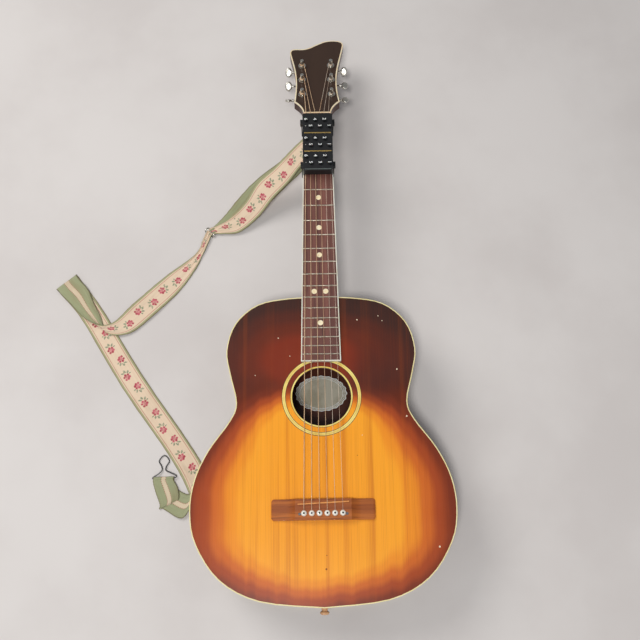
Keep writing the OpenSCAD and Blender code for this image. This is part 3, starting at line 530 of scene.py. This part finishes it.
dressed = {
    "top": ["top_plate"], "dark": ["sides", "neck"], "back": ["back_plate"],
    "bare": ["end_blocks", "linings", "braces"], "cream": ["body_binding"], "headCream": ["head_binding"],
    "boardEdge": ["board_binding"], "nut": ["nut"], "rings": ["soundhole_rings"], "label": ["paper_label"],
    "bridge": ["bridge"], "board": ["fingerboard"], "face": ["head_veneer"], "saddle": ["saddle"],
    "pins": ["bridge_pins"], "dots": ["position_dots"], "peach": ["end_button"], "frets": ["frets"],
    "strings": ["strings"], "plates": ["tuner_plates"],
    "nickel": ["tuner_bushings", "strap_buckle"] + [f"tuner_post_{i}" for i in range(1, 7)]
              + [f"tuner_knob_{i}" for i in range(1, 7)],
    "bolts": ["bridge_bolts"], "hook": ["wire_hook"], "case": ["chord_housing"], "bands": ["chord_bands"],
    "button": [f"chord_button_{g}{k}" for g in (1, 2, 3) for k in range(1, 7)],
    "strapFace": ["strap_webbing"],
}
for look, names in dressed.items():
    for name in names:
        nodes[name].data.materials.clear()
        nodes[name].data.materials.append(looks[look])


def smoothNode(obj, angle=32):
    # join the loose triangles and shade across all but the sharp edges
    for polygon in obj.data.polygons:
        polygon.use_smooth = True
    weld = obj.modifiers.new("weld", "WELD")
    weld.merge_threshold = 0.000002
    split = obj.modifiers.new("edges", "EDGE_SPLIT")
    split.split_angle = math.radians(angle)


for node in nodes.values():
    smoothNode(node)
print("materials set on", sum(len(v) for v in dressed.values()), "nodes")

# mesh helpers

def placed(name, data):
    made = bpy.data.objects.new(name, data)
    bpy.context.scene.collection.objects.link(made)
    return made


def plainMesh(holder):
    # the mesh that an object's modifier or text makes, without the object
    graph = bpy.context.evaluated_depsgraph_get()
    mesh = bpy.data.meshes.new_from_object(holder.evaluated_get(graph))
    bpy.data.objects.remove(holder)
    return mesh


def finished(name, mesh, look, body="guitar", smooth=True):
    mesh.materials.clear()
    mesh.materials.append(looks[look])
    for polygon in mesh.polygons:
        polygon.material_index = 0
        polygon.use_smooth = smooth
    piece = placed(name, mesh)
    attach(piece, body)
    return piece


def newPiece(name, verts, faces, look, body="guitar", smooth=True):
    mesh = bpy.data.meshes.new(name)
    mesh.from_pydata([tuple(v) for v in verts], [], faces)
    mesh.update()
    return finished(name, mesh, look, body, smooth)


def outward(piece):
    # turns every face outwards
    work = bmesh.new()
    work.from_mesh(piece.data)
    bmesh.ops.recalc_face_normals(work, faces=work.faces)
    work.to_mesh(piece.data)
    work.free()
    piece.data.update()
    return piece


def joined(parts):
    # several (corners, faces) lists as one
    verts, faces = [], []
    for v, f in parts:
        start = len(verts)
        verts.extend(v)
        faces.extend(tuple(i + start for i in one) for one in f)
    return verts, faces


def inMetres(points):
    return [tuple(c * mm for c in p) for p in points]


def circle(sides):
    return [(math.cos(fullTurn * k / sides), math.sin(fullTurn * k / sides)) for k in range(sides)]


def tubeFaces(rings, sides, closed=False):
    # the faces between rings of corners, with capped ends unless the tube closes on itself
    faces = []
    for i in range(rings if closed else rings - 1):
        a, b = i * sides, (i + 1) % rings * sides
        for k in range(sides):
            m = (k + 1) % sides
            faces.append((a + k, b + k, b + m, a + m))
    if not closed:
        faces.append(tuple(range(sides)))
        faces.append(tuple((rings - 1) * sides + k for k in reversed(range(sides))))
    return faces


def sweep(points, radius, sides=10, closed=False):
    # a round wire through points
    points = [Vector(p) for p in points]
    n, verts, rise = len(points), [], None
    for i, p in enumerate(points):
        if closed:
            ahead = points[(i + 1) % n] - points[i - 1]
        else:
            ahead = points[min(i + 1, n - 1)] - points[max(i - 1, 0)]
        ahead.normalize()
        if rise is None:
            rise = ahead.orthogonal().normalized()
        side = ahead.cross(rise).normalized()
        rise = side.cross(ahead).normalized()
        verts += [p + (side * c + rise * s) * radius for c, s in circle(sides)]
    return verts, tubeFaces(n, sides, closed)


def lathe(profile, sides=28):
    # profile of (distance along X, radius) turned about X
    verts = [Vector((along, radius * c, radius * s)) for along, radius in profile for c, s in circle(sides)]
    return verts, tubeFaces(len(profile), sides)


def disc(x, y, z, radius, sides=20, dome=0.12):
    # a thin round plate with a raised middle
    rim = [(x + radius * c, y + radius * s) for c, s in circle(sides)]
    verts = [(x, y, z + dome)] + [(*p, z) for p in rim] + [(x, y, z - 0.1)] + [(*p, z - 0.1) for p in rim]
    faces = []
    for k in range(sides):
        m = (k + 1) % sides
        faces.append((0, 1 + k, 1 + m))
        faces.append((sides + 1, sides + 2 + m, sides + 2 + k))
        faces.append((1 + k, sides + 2 + k, sides + 2 + m, 1 + m))
    return inMetres(verts), faces


def onHead(x, u, z):
    # a point of the head's own plane: across, up from the nut, above the face; in mm
    c, s = math.cos(tilt), math.sin(tilt)
    return headOrigin + Vector((x, u * c + z * s, -u * s + z * c)) * mm


def curveThrough(points, steps):
    # the same smooth curve that the frame's own cloth follows
    points = [np.array(p, float) for p in points]
    last, made = len(points) - 1, []
    for i in range(last):
        p0, p1, p2, p3 = points[max(i - 1, 0)], points[i], points[i + 1], points[min(i + 2, last)]
        for k in range(steps):
            t = k / steps
            made.append(0.5 * (2 * p1 + (p2 - p0) * t + (2 * p0 - 5 * p1 + 4 * p2 - p3) * t * t
                               + (3 * p1 - p0 - 3 * p2 + p3) * t ** 3))
    made.append(points[-1])
    return np.array(made)


# the woven strap

neckZ = 78.7
# both edges of the webbing, from behind the neck down to the hook, in mm
strapStations = [
    # behind the neck and down to the floor
    [(-4, 469, neckZ), (19, 441, neckZ)], [(-24, 451, neckZ), (-12, 415, neckZ)],
    [(-44, 434, 73), (-30, 401, 71)],
    [(-74, 410, 57), (-52, 380, 53)], [(-105, 390, 38), (-78, 361, 34)],
    [(-128, 361, 20), (-104, 336, 15.5)],
    # gathered through the buckle
    [(-155, 340.5, 6), (-136.5, 313, 5)], [(-177, 327, 3.4), (-167, 310, 3.4)],
    [(-192, 319, 3.4), (-184, 309, 3.4)],
    [(-201, 300, 3.4), (-191, 294, 3.4)], [(-209, 279, 2), (-201, 270, 2)],
    # along the floor, rolled over at the bend, then up to the fold at the far corner
    [(-230, 259, 1.4), (-214, 243, 1.4)], [(-266, 232, 0.9), (-241, 204, 0.9)],
    [(-314, 187, 2.2), (-288, 157, 2.2)],
    [(-335, 163, 4), (-313, 136, 3.2)], [(-345, 153, 6), (-331, 130, 3.6)],
    [(-354, 148, 8), (-345, 130, 3.6)],
    [(-366, 145.5, 9), (-358, 135, 3.2)], [(-379, 149, 9), (-363, 147, 3.4)],
    [(-393, 157, 8.6), (-370, 165, 4.2)],
    [(-407, 170, 8), (-382, 187, 5)], [(-422, 186, 7.4), (-393, 211, 5.6)],
    [(-438, 202, 7), (-408, 228, 6.2)],
    [(-447, 212, 4.6), (-415, 238, 4.6)], [(-441, 205, 1.4), (-409, 231, 1.4)],
    # the long straight run, and its fold beside the body
    [(-401, 158, 0.9), (-369, 178, 0.9)], [(-328, 42, 0.9), (-296, 63, 0.9)],
    [(-253, -62, 0.9), (-222, -41, 0.9)],
    [(-224, -108, 0.9), (-192, -87, 0.9)], [(-208, -142, 1.4), (-190, -102, 1.4)],
    [(-204, -150, 4), (-193.5, -112, 4)], [(-211, -160, 6.4), (-200, -122, 6.4)],
    [(-224, -171, 3.6), (-212, -134, 3.6)], [(-252, -156, 0.9), (-232, -126, 0.9)],
    # the end tab, hemmed round the bar of the hook
    [(-258, -156, 2.4), (-228, -141, 2.4)], [(-257, -149, 3.9), (-227, -134, 3.9)],
    [(-264, -131, 3.9), (-230, -122, 3.9)], [(-269, -114, 4.4), (-236, -112, 4.4)],
    [(-268.6, -109.2, 5.5), (-236, -107.6, 5.5)], [(-268.4, -106.9, 3.7), (-236, -105.5, 3.7)],
    [(-268.6, -109.2, 1.9), (-236, -107.6, 1.9)], [(-268.8, -119, 1.7), (-236, -117, 1.7)],
]
buckleAt = Vector((-188, 314, 3.6)) * mm


def ribbon(name, stations, look, steps):
    # a thin closed strip between two edges, gathered into pleats where the edges draw together
    edgeA = curveThrough([s[0] for s in stations], steps)
    edgeB = curveThrough([s[1] for s in stations], steps)
    middle = (edgeA + edgeB) / 2
    along = np.concatenate([[0], np.cumsum(np.linalg.norm(np.diff(middle, axis=0), axis=1))])
    rings, columns = len(middle), look["stepsAcross"]
    waves = np.random.default_rng(look.get("seed", 4)).uniform(0, fullTurn, 6)
    thick = look["thick"] / mm
    verts = []
    for side in (1, -1):
        for i in range(rings):
            ahead = middle[min(i + 1, rings - 1)] - middle[max(i - 1, 0)]
            across = edgeB[i] - edgeA[i]
            chord = np.linalg.norm(across)
            face = np.cross(ahead, across)
            face /= np.linalg.norm(face)
            if look.get("flip"):
                face = -face
            gather = min(max((33 - chord) / 17, 0), 1)
            d = along[i]
            for k in range(columns + 1):
                s = k / columns
                curl = 0.35 * math.sin(math.pi * s) * (1 - gather)
                ripple = 0.28 * math.sin(d / 17 + waves[0] + 2.2 * s)
                ripple += 0.16 * math.sin(d / 7.3 + waves[1] - 5 * s)
                edgeLift = 0.5 * (abs(2 * s - 1) ** 6) * math.sin(d / 23 + waves[2] + (2 if s > 0.5 else 0))
                pleat = 1.25 * gather ** 0.7 * math.sin(fullTurn * look["pleats"] * s + waves[3] + 0.02 * d)
                lift = curl + (ripple + edgeLift) * (1 - 0.6 * gather) * look.get("ripple", 1) + pleat
                fray = 0.22 * math.sin(d * 1.9 + waves[4]) * (k in (0, columns))
                point = edgeA[i] + across * s + face * (lift + side * thick / 2) + across / chord * fray
                point[2] = max(point[2], 0.25 + (side > 0) * thick * abs(face[2]))
                verts.append(point * mm)
    width, count = columns + 1, rings * (columns + 1)
    faces, marks, coords = [], [], []

    def uv(index):
        i, k = divmod(index % count, width)
        return (k / columns, along[i] * mm + look.get("start", 0))

    def addFace(corners, mark):
        faces.append(corners)
        marks.append(mark)
        coords.extend(uv(c) for c in corners)

    for i in range(rings - 1):
        for k in range(columns):
            a = i * width + k
            addFace((a, a + width, a + width + 1, a + 1), 0)
            addFace((count + a, count + a + 1, count + a + width + 1, count + a + width), 1)
        for k, mark in ((0, 1), (columns, 1)):
            a = i * width + k
            corners = (a, count + a, count + a + width, a + width)
            addFace(corners if k == 0 else corners[::-1], mark)
    for i, turned in ((0, False), (rings - 1, True)):
        for k in range(columns):
            a = i * width + k
            corners = (a, a + 1, count + a + 1, count + a)
            addFace(corners[::-1] if turned else corners, 1)
    if look.get("flip"):
        faces = [f[::-1] for f in faces]
        coords = [c for n in range(0, len(coords), 4) for c in coords[n:n + 4][::-1]]
    piece = newPiece(name, verts, faces, "strapFace")
    piece.data.materials.append(looks["strapReverse"])
    piece.data.polygons.foreach_set("material_index", marks)
    layer = piece.data.uv_layers.new(name="UVMap")
    layer.data.foreach_set("uv", np.array(coords, np.float32).ravel())
    edges = [[Vector(p) * mm for p in line] for line in (edgeA, edgeB)]
    return outward(piece), along[-1] * mm, edges


strap, strapLength, strapEdges = ribbon("strap", strapStations, strapLook, strapLook["stepsBetween"])
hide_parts("strap_webbing")
print("strap", round(strapLength, 3), "m long")

# the second layer that the buckle doubles back under the first
underLook = {"thick": 1.1 * mm, "stepsAcross": 12, "pleats": 2.0, "seed": 9, "flip": True, "start": 0.31,
             "width": 0.038, "ripple": 0.5}
underStations = [
    [(-30, 440, 74), (-14, 406, 73)], [(-66, 421, 53), (-46, 388, 44)], [(-106, 398, 35), (-76, 367, 24)],
    [(-137, 371, 21), (-103, 348, 9)], [(-163, 343, 8.5), (-131, 329, 2)], [(-180, 327, 4), (-164, 318, 1.8)],
    [(-190, 318, 3), (-183, 309, 3)]]
under, underLength, _ = ribbon("strap_doubled_layer", underStations, underLook, 7)


buckleLook = {"halfLong": 4.3, "halfWide": 9.0, "rod": 1.0, "turn": math.radians(51)}


def strapSlider():
    # a wire frame: its ends pass under the webbing, its middle bar over it
    turnIt = Matrix.Rotation(buckleLook["turn"], 4, "Z")
    long, wide, rod = (buckleLook[k] for k in ("halfLong", "halfWide", "rod"))
    quarter = [(long, wide - 1.5, 1.3), (long - 0.5, wide - 0.3, 2.0), (long - 1.8, wide, 3.2)]
    loop = [(long, -wide + 1.5, 1.3), (long, 0, 1.15), *quarter, (0, wide, 3.9)]
    loop += [(-px, py, pz) for px, py, pz in reversed(quarter)]
    loop += [(-long, 0, 1.15), *[(-px, -py, pz) for px, py, pz in quarter], (0, -wide, 3.9)]
    loop += [(px, -py, pz) for px, py, pz in reversed(quarter[1:])]
    bar = curveThrough([(0, wide * share, rise) for share, rise in
                        ((-1, 3.9), (-0.75, 5.3), (0, 6.0), (0.75, 5.3), (1, 3.9))], 5)
    ring = curveThrough(loop + [loop[0]], 3)[:-1]
    at = Vector((buckleAt.x, buckleAt.y, 0))
    ring, bar = [[turnIt @ (Vector(p) * mm) + at for p in path] for path in (ring, bar)]
    verts, faces = joined([sweep(ring, rod * mm, 10, True), sweep(bar, rod * 0.95 * mm, 10)])
    slider = outward(newPiece("strap_slider", verts, faces, "nickel"))
    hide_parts("strap_buckle")


strapSlider()

# screws and stitches

def nodeGroup(name, inputs):
    # a new group's web and what it is given
    group = bpy.data.node_groups.new(name, "GeometryNodeTree")
    sockets = [("Geometry", "Geometry", None)] + inputs + [("Finish", "Material", None)]
    for label, kind, value in sockets:
        socket = group.interface.new_socket(label, in_out="INPUT", socket_type="NodeSocket" + kind)
        if value is not None:
            socket.default_value = value
    group.interface.new_socket("Geometry", in_out="OUTPUT", socket_type="NodeSocketGeometry")
    w = Web(group)
    return w, w.node("NodeGroupInput").outputs


def setOut(w, given, points, shape, facing, turn):
    # the shape on every point, each turned about its own Z, in the finish given
    put = w.node("GeometryNodeInstanceOnPoints", Points=points, Instance=shape, Rotation=facing)
    spun = w.node("GeometryNodeRotateInstances", Instances=put.outputs["Instances"],
                  Rotation=w.vector(0.0, 0.0, turn))
    real = w.node("GeometryNodeRealizeInstances", Geometry=spun.outputs["Instances"])
    finish = w.node("GeometryNodeSetMaterial", Geometry=real.outputs["Geometry"], Material=given["Finish"])
    w.node("NodeGroupOutput", Geometry=finish.outputs["Geometry"])
    return w.tree


def grown(name, verts, edges, group, values, look):
    # runs a node group on some points or lines and keeps the plain mesh that it makes
    mesh = bpy.data.meshes.new(name + "_seed")
    mesh.from_pydata([tuple(v) for v in verts], edges, [])
    seed = placed(name + "_seed", mesh)
    modifier = seed.modifiers.new("grow", "NODES")
    modifier.node_group = group
    for item in group.interface.items_tree:
        if item.in_out == "INPUT" and item.name in values:
            modifier[item.identifier] = values[item.name]
    return finished(name, plainMesh(seed), look)


def screwGroup():
    # slotted dome heads on points, all facing the same way
    w, given = nodeGroup("slottedScrews", [("Head Radius", "Float", 0.002), ("Head Height", "Float", 0.45),
                                           ("Facing", "Vector", (0, 0, 0))])
    ball = w.node("GeometryNodeMeshUVSphere", Segments=20, Rings=12, Radius=given["Head Radius"])
    dome = w.node("GeometryNodeTransform", Geometry=ball.outputs["Mesh"],
                  Scale=w.vector(1.0, 1.0, given["Head Height"]))
    slot = w.node("GeometryNodeMeshCube", Size=(0.005, 0.0006, 0.0012))
    slotUp = w.node("GeometryNodeTransform", Geometry=slot.outputs["Mesh"], Translation=(0, 0, 0.00105))
    cut = w.node("GeometryNodeMeshBoolean", operation="DIFFERENCE", Mesh_1=dome.outputs["Geometry"],
                 Mesh_2=slotUp.outputs["Geometry"])
    spin = w.node("FunctionNodeRandomValue", data_type="FLOAT")
    spin.inputs["Min"].default_value, spin.inputs["Max"].default_value = 0.0, 3.0
    spin.inputs["Seed"].default_value = 3
    return setOut(w, given, given["Geometry"], cut.outputs["Mesh"], given["Facing"], spin.outputs[1])


def stitchGroup():
    # short slanting stitches along each line, leaning one way and the other by turns
    w, given = nodeGroup("stitches", [("Spacing", "Float", 0.0026), ("Thread", "Float", 0.0003),
                                      ("Length", "Float", 0.0022), ("Lean", "Float", 0.7)])
    line = w.node("GeometryNodeMeshToCurve", Mesh=given["Geometry"])
    even = w.node("GeometryNodeResampleCurve", mode="LENGTH", Curve=line.outputs["Curve"],
                  Length=given["Spacing"])
    tangent = w.node("GeometryNodeInputTangent").outputs[0]
    aim = w.node("FunctionNodeAlignRotationToVector", axis="X", Vector=tangent)
    thread = w.node("GeometryNodeMeshCylinder", fill_type="NGON", Vertices=6, Radius=given["Thread"],
                    Depth=given["Length"])
    lying = w.node("GeometryNodeTransform", Geometry=thread.outputs["Mesh"], Rotation=(0, math.pi / 2, 0))
    odd = w.math("MODULO", w.node("GeometryNodeInputIndex").outputs[0], 2.0)
    lean = w.math("MULTIPLY_ADD", odd, w.mul(given["Lean"], 2.0), w.mul(given["Lean"], -1.0))
    return setOut(w, given, even.outputs["Curve"], lying.outputs["Geometry"], aim.outputs["Rotation"], lean)


screws, stitches = screwGroup(), stitchGroup()
screwLook = {"radius": 1.9, "rows": (32.5, 61.3, 94.8, 122.5), "under": -18.15, "across": 25}
screwPlaces = [onHead(side * screwLook["across"], u, screwLook["under"])
               for side in (-1, 1) for u in screwLook["rows"]]
tunerScrews = grown("tuner_plate_screws", screwPlaces, [], screws,
                    {"Head Radius": screwLook["radius"] * mm, "Facing": (math.radians(168), 0, 0),
                     "Finish": looks["plates"]}, "plates")

def seamLine(share, first, last, rise):
    # a line on the tab's upper face, that share of the way across
    points = []
    for i in range(first, last):
        a, b = strapEdges[0][i], strapEdges[1][i]
        ahead = (strapEdges[0][i + 1] + strapEdges[1][i + 1]) - (strapEdges[0][i - 1] + strapEdges[1][i - 1])
        face = ahead.cross(b - a).normalized()
        points.append(a.lerp(b, share) + face * rise)
    return points


# the two seams: how far across, where they begin and end, counted back from the last station, and their rise
tabLook = {"shares": (0.115, 0.885), "first": (7, 3), "last": (5, 7), "rise": 1.15 * mm}
tabFirst, tabLast = [(len(strapStations) - back) * strapLook["stepsBetween"] + on
                     for back, on in (tabLook["first"], tabLook["last"])]
lines = [seamLine(share, tabFirst, tabLast, tabLook["rise"]) for share in tabLook["shares"]]
seamVerts = [p for line in lines for p in line]
seamEdges, n = [], 0
for line in lines:
    seamEdges += [(n + i, n + i + 1) for i in range(len(line) - 1)]
    n += len(line)
tabStitches = grown("tab_stitches", seamVerts, seamEdges, stitches, {"Finish": looks["thread"]}, "thread")
print("screws and stitches grown")

# the chord box's strips, lip, rivets and numbers

boxTop = 127.0
stripLook = {"long": 44.0, "wide": 1.7, "rise": 0.35}


def roundedBar(x0, x1, y0, y1, z0, z1, bevel):
    # a bar with eased edges: a stack of shrinking rectangles
    verts, faces = [], []
    for z, inset in ((z0, 0), (z1 - bevel, 0), (z1 - bevel * 0.3, bevel * 0.3), (z1, bevel)):
        verts += [(x0 + inset, y0 + inset, z), (x1 - inset, y0 + inset, z), (x1 - inset, y1 - inset, z),
                  (x0 + inset, y1 - inset, z)]
    for ring in range(3):
        for k in range(4):
            a, b = ring * 4 + k, ring * 4 + (k + 1) % 4
            faces.append((a, b, b + 4, a + 4))
    faces += [(3, 2, 1, 0), (12, 13, 14, 15)]
    return inMetres(verts), faces


groupMiddles = []
for g in (1, 2, 3):
    ys = [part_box(f"chord_button_{g}{k}") for k in (1, 2)]
    groupMiddles.append(sum((b[0].y + b[1].y) / 2 for b in ys) / 2 / mm)
strips = []
for first, second in zip(groupMiddles, groupMiddles[1:]):
    y = (first + second) / 2
    strips.append(roundedBar(-stripLook["long"] / 2, stripLook["long"] / 2, y - stripLook["wide"] / 2,
                             y + stripLook["wide"] / 2, boxTop - 0.02, boxTop + stripLook["rise"], 0.15))
chordStrips = newPiece("chord_box_strips", *joined(strips), "gold", smooth=False)

lipLook = {"half": 21.5, "from": 1.3, "to": 2.6, "rise": 0.5, "bevel": 0.3}
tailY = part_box("chord_housing")[0].y / mm
lipBar = roundedBar(-lipLook["half"], lipLook["half"], tailY + lipLook["from"], tailY + lipLook["to"],
                    boxTop - 0.02, boxTop + lipLook["rise"], lipLook["bevel"])
lip = newPiece("chord_box_lip", *lipBar, "lip", smooth=False)

rivetLook = {"x": -19.6, "above": 1.6, "radius": 0.95, "dome": 0.45}
rivets = []
for g in (1, 2, 3):
    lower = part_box(f"chord_button_{g}2")
    rivets.append(disc(rivetLook["x"], (lower[0].y + lower[1].y) / 2 / mm + rivetLook["above"], boxTop + 0.02,
                       rivetLook["radius"], 16, rivetLook["dome"]))
chordRivets = newPiece("chord_box_rivets", *joined(rivets), "knobs")

# the size of the figures, and the buttons' pitch and last place across, which say what number each carries
numberLook = {"size": 7.6, "deep": 0.35, "fat": 0.12, "pitch": 7.6, "last": 19}


def numberMesh(text, name):
    # a plain number as a mesh, its middle at the origin, lying in the XY plane
    curve = bpy.data.curves.new(name, "FONT")
    curve.body, curve.size = text, numberLook["size"] * mm
    curve.extrude, curve.offset = numberLook["deep"] * mm / 2, numberLook["fat"] * mm
    curve.resolution_u = 4
    mesh = plainMesh(placed(name, curve))
    points = np.array([v.co for v in mesh.vertices])
    centre = (points.min(0) + points.max(0)) / 2
    mesh.transform(Matrix.Translation(-Vector(centre)))
    return mesh


for g in (1, 2, 3):
    for k in range(1, 7):
        name = f"chord_button_{g}{k}"
        lowest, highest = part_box(name)
        centre = (lowest + highest) / 2
        digit = 6 - round((centre.x / mm + numberLook["last"]) / numberLook["pitch"])
        mesh = numberMesh(str(digit), f"button_number_{g}{k}")
        mesh.transform(Matrix.Translation((centre.x, centre.y, highest.z - 0.1 * mm))
                       @ Matrix.Rotation(-math.pi / 2, 4, "Z"))
        piece = placed(f"button_number_{g}{k}", mesh)
        mesh.materials.clear()
        mesh.materials.append(looks["numberPaint"])
        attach(piece, name)
print("chord box dressed")

# tuner knobs

# in mm: the knob's half sizes and place along its shaft, the worm's ends, core and crest, and the collar
knobLook = {"half": (6.0, 8.5, 2.5), "out": 49.0, "shaft": 1.5, "worm": (19.0, 29.0, 2.0, 2.17),
            "pitch": 1.93, "around": 16, "collar": [(39.2, 1.9), (39.9, 2.35), (40.6, 2.1), (41.2, 2.3),
                                                    (42.4, 2.7), (43.6, 2.3), (44.4, 1.6), (44.6, 0.8)]}
knobTurns = [45, -45, -40, 45, -5, -16]


def pebble(half, turned, around=40, rings=18):
    # a flattened oval with a full round rim and slightly dished faces
    verts, faces = [Vector((0, 0, -half[2] * 0.9))], []
    for i in range(1, rings):
        a = math.pi * i / rings - math.pi / 2
        out = math.cos(a) ** 0.55
        height = math.copysign(abs(math.sin(a)) ** 0.8, a) * half[2] * (0.9 + 0.1 * min(1, out * 1.6))
        verts += [Vector((half[0] * out * c, half[1] * out * s, height)) for c, s in circle(around)]
    verts.append(Vector((0, 0, half[2] * 0.9)))
    top = len(verts) - 1
    for k in range(around):
        m = (k + 1) % around
        faces.append((0, 1 + m, 1 + k))
        faces.append((top, top - around + k, top - around + m))
        for i in range(rings - 2):
            a = 1 + i * around
            faces.append((a + k, a + m, a + around + m, a + around + k))
    turn = Matrix.Rotation(math.radians(turned), 3, "X")
    return [turn @ v + Vector((knobLook["out"], 0, 0)) for v in verts], faces


def knobPiece(index):
    joint = next(j for j in frame["joints"] if j["name"] == f"knob_{index}_turn")
    at, side = Vector(joint["pos_m"]), joint["axis"][0]
    first, last, core, crest = knobLook["worm"]
    shaft = knobLook["shaft"]
    profile = [(16.0, 0.9), (16.0, shaft - 0.2), (16.3, shaft), (first + 0.2, shaft), (first + 0.2, core),
               (last - 0.4, core), (last - 0.4, shaft), (38.6, shaft), *knobLook["collar"]]
    around, under = knobLook["around"], core - 0.2
    thread = []
    for i in range(int((last - first - 1.6) / knobLook["pitch"] * around)):
        a = fullTurn * i / around
        x = first + 0.8 + knobLook["pitch"] * i / around
        thread.append((x, under * math.cos(a), under * math.sin(a)))
    verts, faces = joined([lathe(profile), pebble(knobLook["half"], knobTurns[index - 1]),
                           sweep(thread, crest - under, 6)])
    c, s = math.cos(tilt), math.sin(tilt)
    spots = []
    for v in verts:
        x, u, z = side * v[0], side * v[1], v[2]
        spots.append(Vector((x, at.y / mm + u * c + z * s, at.z / mm - u * s + z * c)) * mm)
    knob = outward(newPiece(f"tuner_knob_{index}_button", spots, faces, "knobs", f"tuner_knob_{index}"))
    split = knob.modifiers.new("edges", "EDGE_SPLIT")
    split.split_angle = math.radians(40)
    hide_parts(f"tuner_knob_{index}")


for index in range(1, 7):
    knobPiece(index)
print("tuner knobs made")

# small inlays

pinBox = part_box("bridge_pins")
pinY = (pinBox[0].y + pinBox[1].y) / 2 / mm
pinTop = pinBox[1].z / mm
pinLook = {"span": 56.5, "radius": 1.45}
dots = [disc(pinLook["span"] * (i / 5 - 0.5), pinY, pinTop + 0.02, pinLook["radius"]) for i in range(6)]
pinDots = newPiece("pin_dots", *joined(dots), "darkInlay")

# each line's share of the label's size and its width in mm: the outermost is a painted highlight along the
# scalloped rim, the other two are the printed double border
labelLook = {"scallops": 20, "depth": 0.022, "lines": ((0.972, 1.3), (0.90, 0.6), (0.84, 0.8)), "rise": 0.08}


def labelLines():
    lowest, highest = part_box("paper_label")
    centre = (lowest + highest) / 2 / mm
    half = (highest - lowest) / 2 / mm / (1 + labelLook["depth"])
    z, parts, count = highest.z / mm, [], 160
    for share, wide in labelLook["lines"]:
        lobes = labelLook["depth"] if share > 0.85 else 0
        verts, faces = [], []
        for k in range(count):
            a = fullTurn * k / count
            for level in (z - 0.05, z + labelLook["rise"]):
                for edge in (-wide / 2, wide / 2):
                    stretch = share * (1 + lobes * math.cos(labelLook["scallops"] * a))
                    verts.append(((half.x * stretch + edge) * math.cos(a) + centre.x,
                                  (half.y * stretch + edge) * math.sin(a) + centre.y, level))
        for k in range(count):
            a, b = 4 * k, 4 * ((k + 1) % count)
            faces += [(a + 2, b + 2, b + 3, a + 3), (a + 1, b + 1, b, a), (a + 3, b + 3, b + 1, a + 1),
                      (a, b, b + 2, a + 2)]
        parts.append((inMetres(verts), faces))
    lines = outward(newPiece("label_border_lines_and_rim_highlight", *joined(parts), "labelLine", smooth=False))


labelLines()
print("inlays made")

# floor, light and camera

def flatSquare(name, half, z):
    mesh = bpy.data.meshes.new(name)
    corners = [(-half, -half, z), (half, -half, z), (half, half, z), (-half, half, z)]
    mesh.from_pydata(corners, [], [(0, 1, 2, 3)])
    return placed(name, mesh)


def floorPaint():
    w = Weave("palePaint")
    blot = w.noise(3.0, detail=5)
    colour = w.blend(w.ramp01(blot, 0.35, 0.7), (214, 209, 206), (204, 198, 195))
    return w.finish(colour, 0.85, Specular_IOR_Level=0.2)


floor = flatSquare("floor", 3.0, -0.0002)
floor.data.materials.append(floorPaint())

studio = {
    "lights": [  # place, size, power and warmth of each soft light
        ("keyLight", (-1.5, 1.2, 2.0), 1.6, 33, (1.0, 0.985, 0.96)),
        ("overheadLight", (-0.25, -0.75, 2.4), 0.45, 28, (1.0, 0.99, 0.975)),
        ("fillLight", (1.9, -1.3, 1.9), 2.2, 5, (0.96, 0.98, 1.0)),
        ("tailLight", (-0.9, -2.2, 1.6), 1.6, 4, (1.0, 0.99, 0.98)),
    ],
    "sky": 0.33,
    "cameraAt": Vector((-6.4, -268.5, 1360)) * mm,
    "cameraTurn": math.radians(0.85), "cameraLean": math.radians(17.2), "lens": 47.5,
}
for name, at, size, power, warmth in studio["lights"]:
    light = bpy.data.lights.new(name, "AREA")
    light.shape, light.size, light.energy, light.color = "DISK", size, power, warmth
    lamp = placed(name, light)
    lamp.location = at
    lamp.rotation_euler = (Vector((-0.1, 0.05, 0)) - Vector(at)).to_track_quat("-Z", "Y").to_euler()

world = bpy.data.worlds.new("studio")
bpy.context.scene.world = world
world.use_nodes = True
world.node_tree.nodes["Background"].inputs["Color"].default_value = tone(232, 234, 238)
world.node_tree.nodes["Background"].inputs["Strength"].default_value = studio["sky"]

turn, lean = studio["cameraTurn"], studio["cameraLean"]
right = Vector((math.cos(turn), -math.sin(turn), 0))
up = Vector((math.sin(turn) * math.cos(lean), math.cos(turn) * math.cos(lean), math.sin(lean)))
view = Matrix((right, up, right.cross(up))).transposed().to_4x4()
camera = placed("camera", bpy.data.cameras.new("camera"))
camera.data.lens, camera.data.sensor_width = studio["lens"], 36
camera.matrix_world = Matrix.Translation(studio["cameraAt"]) @ view
bpy.context.scene.camera = camera
bpy.context.scene.view_settings.view_transform = "Standard"
print("floor, lights and camera set")
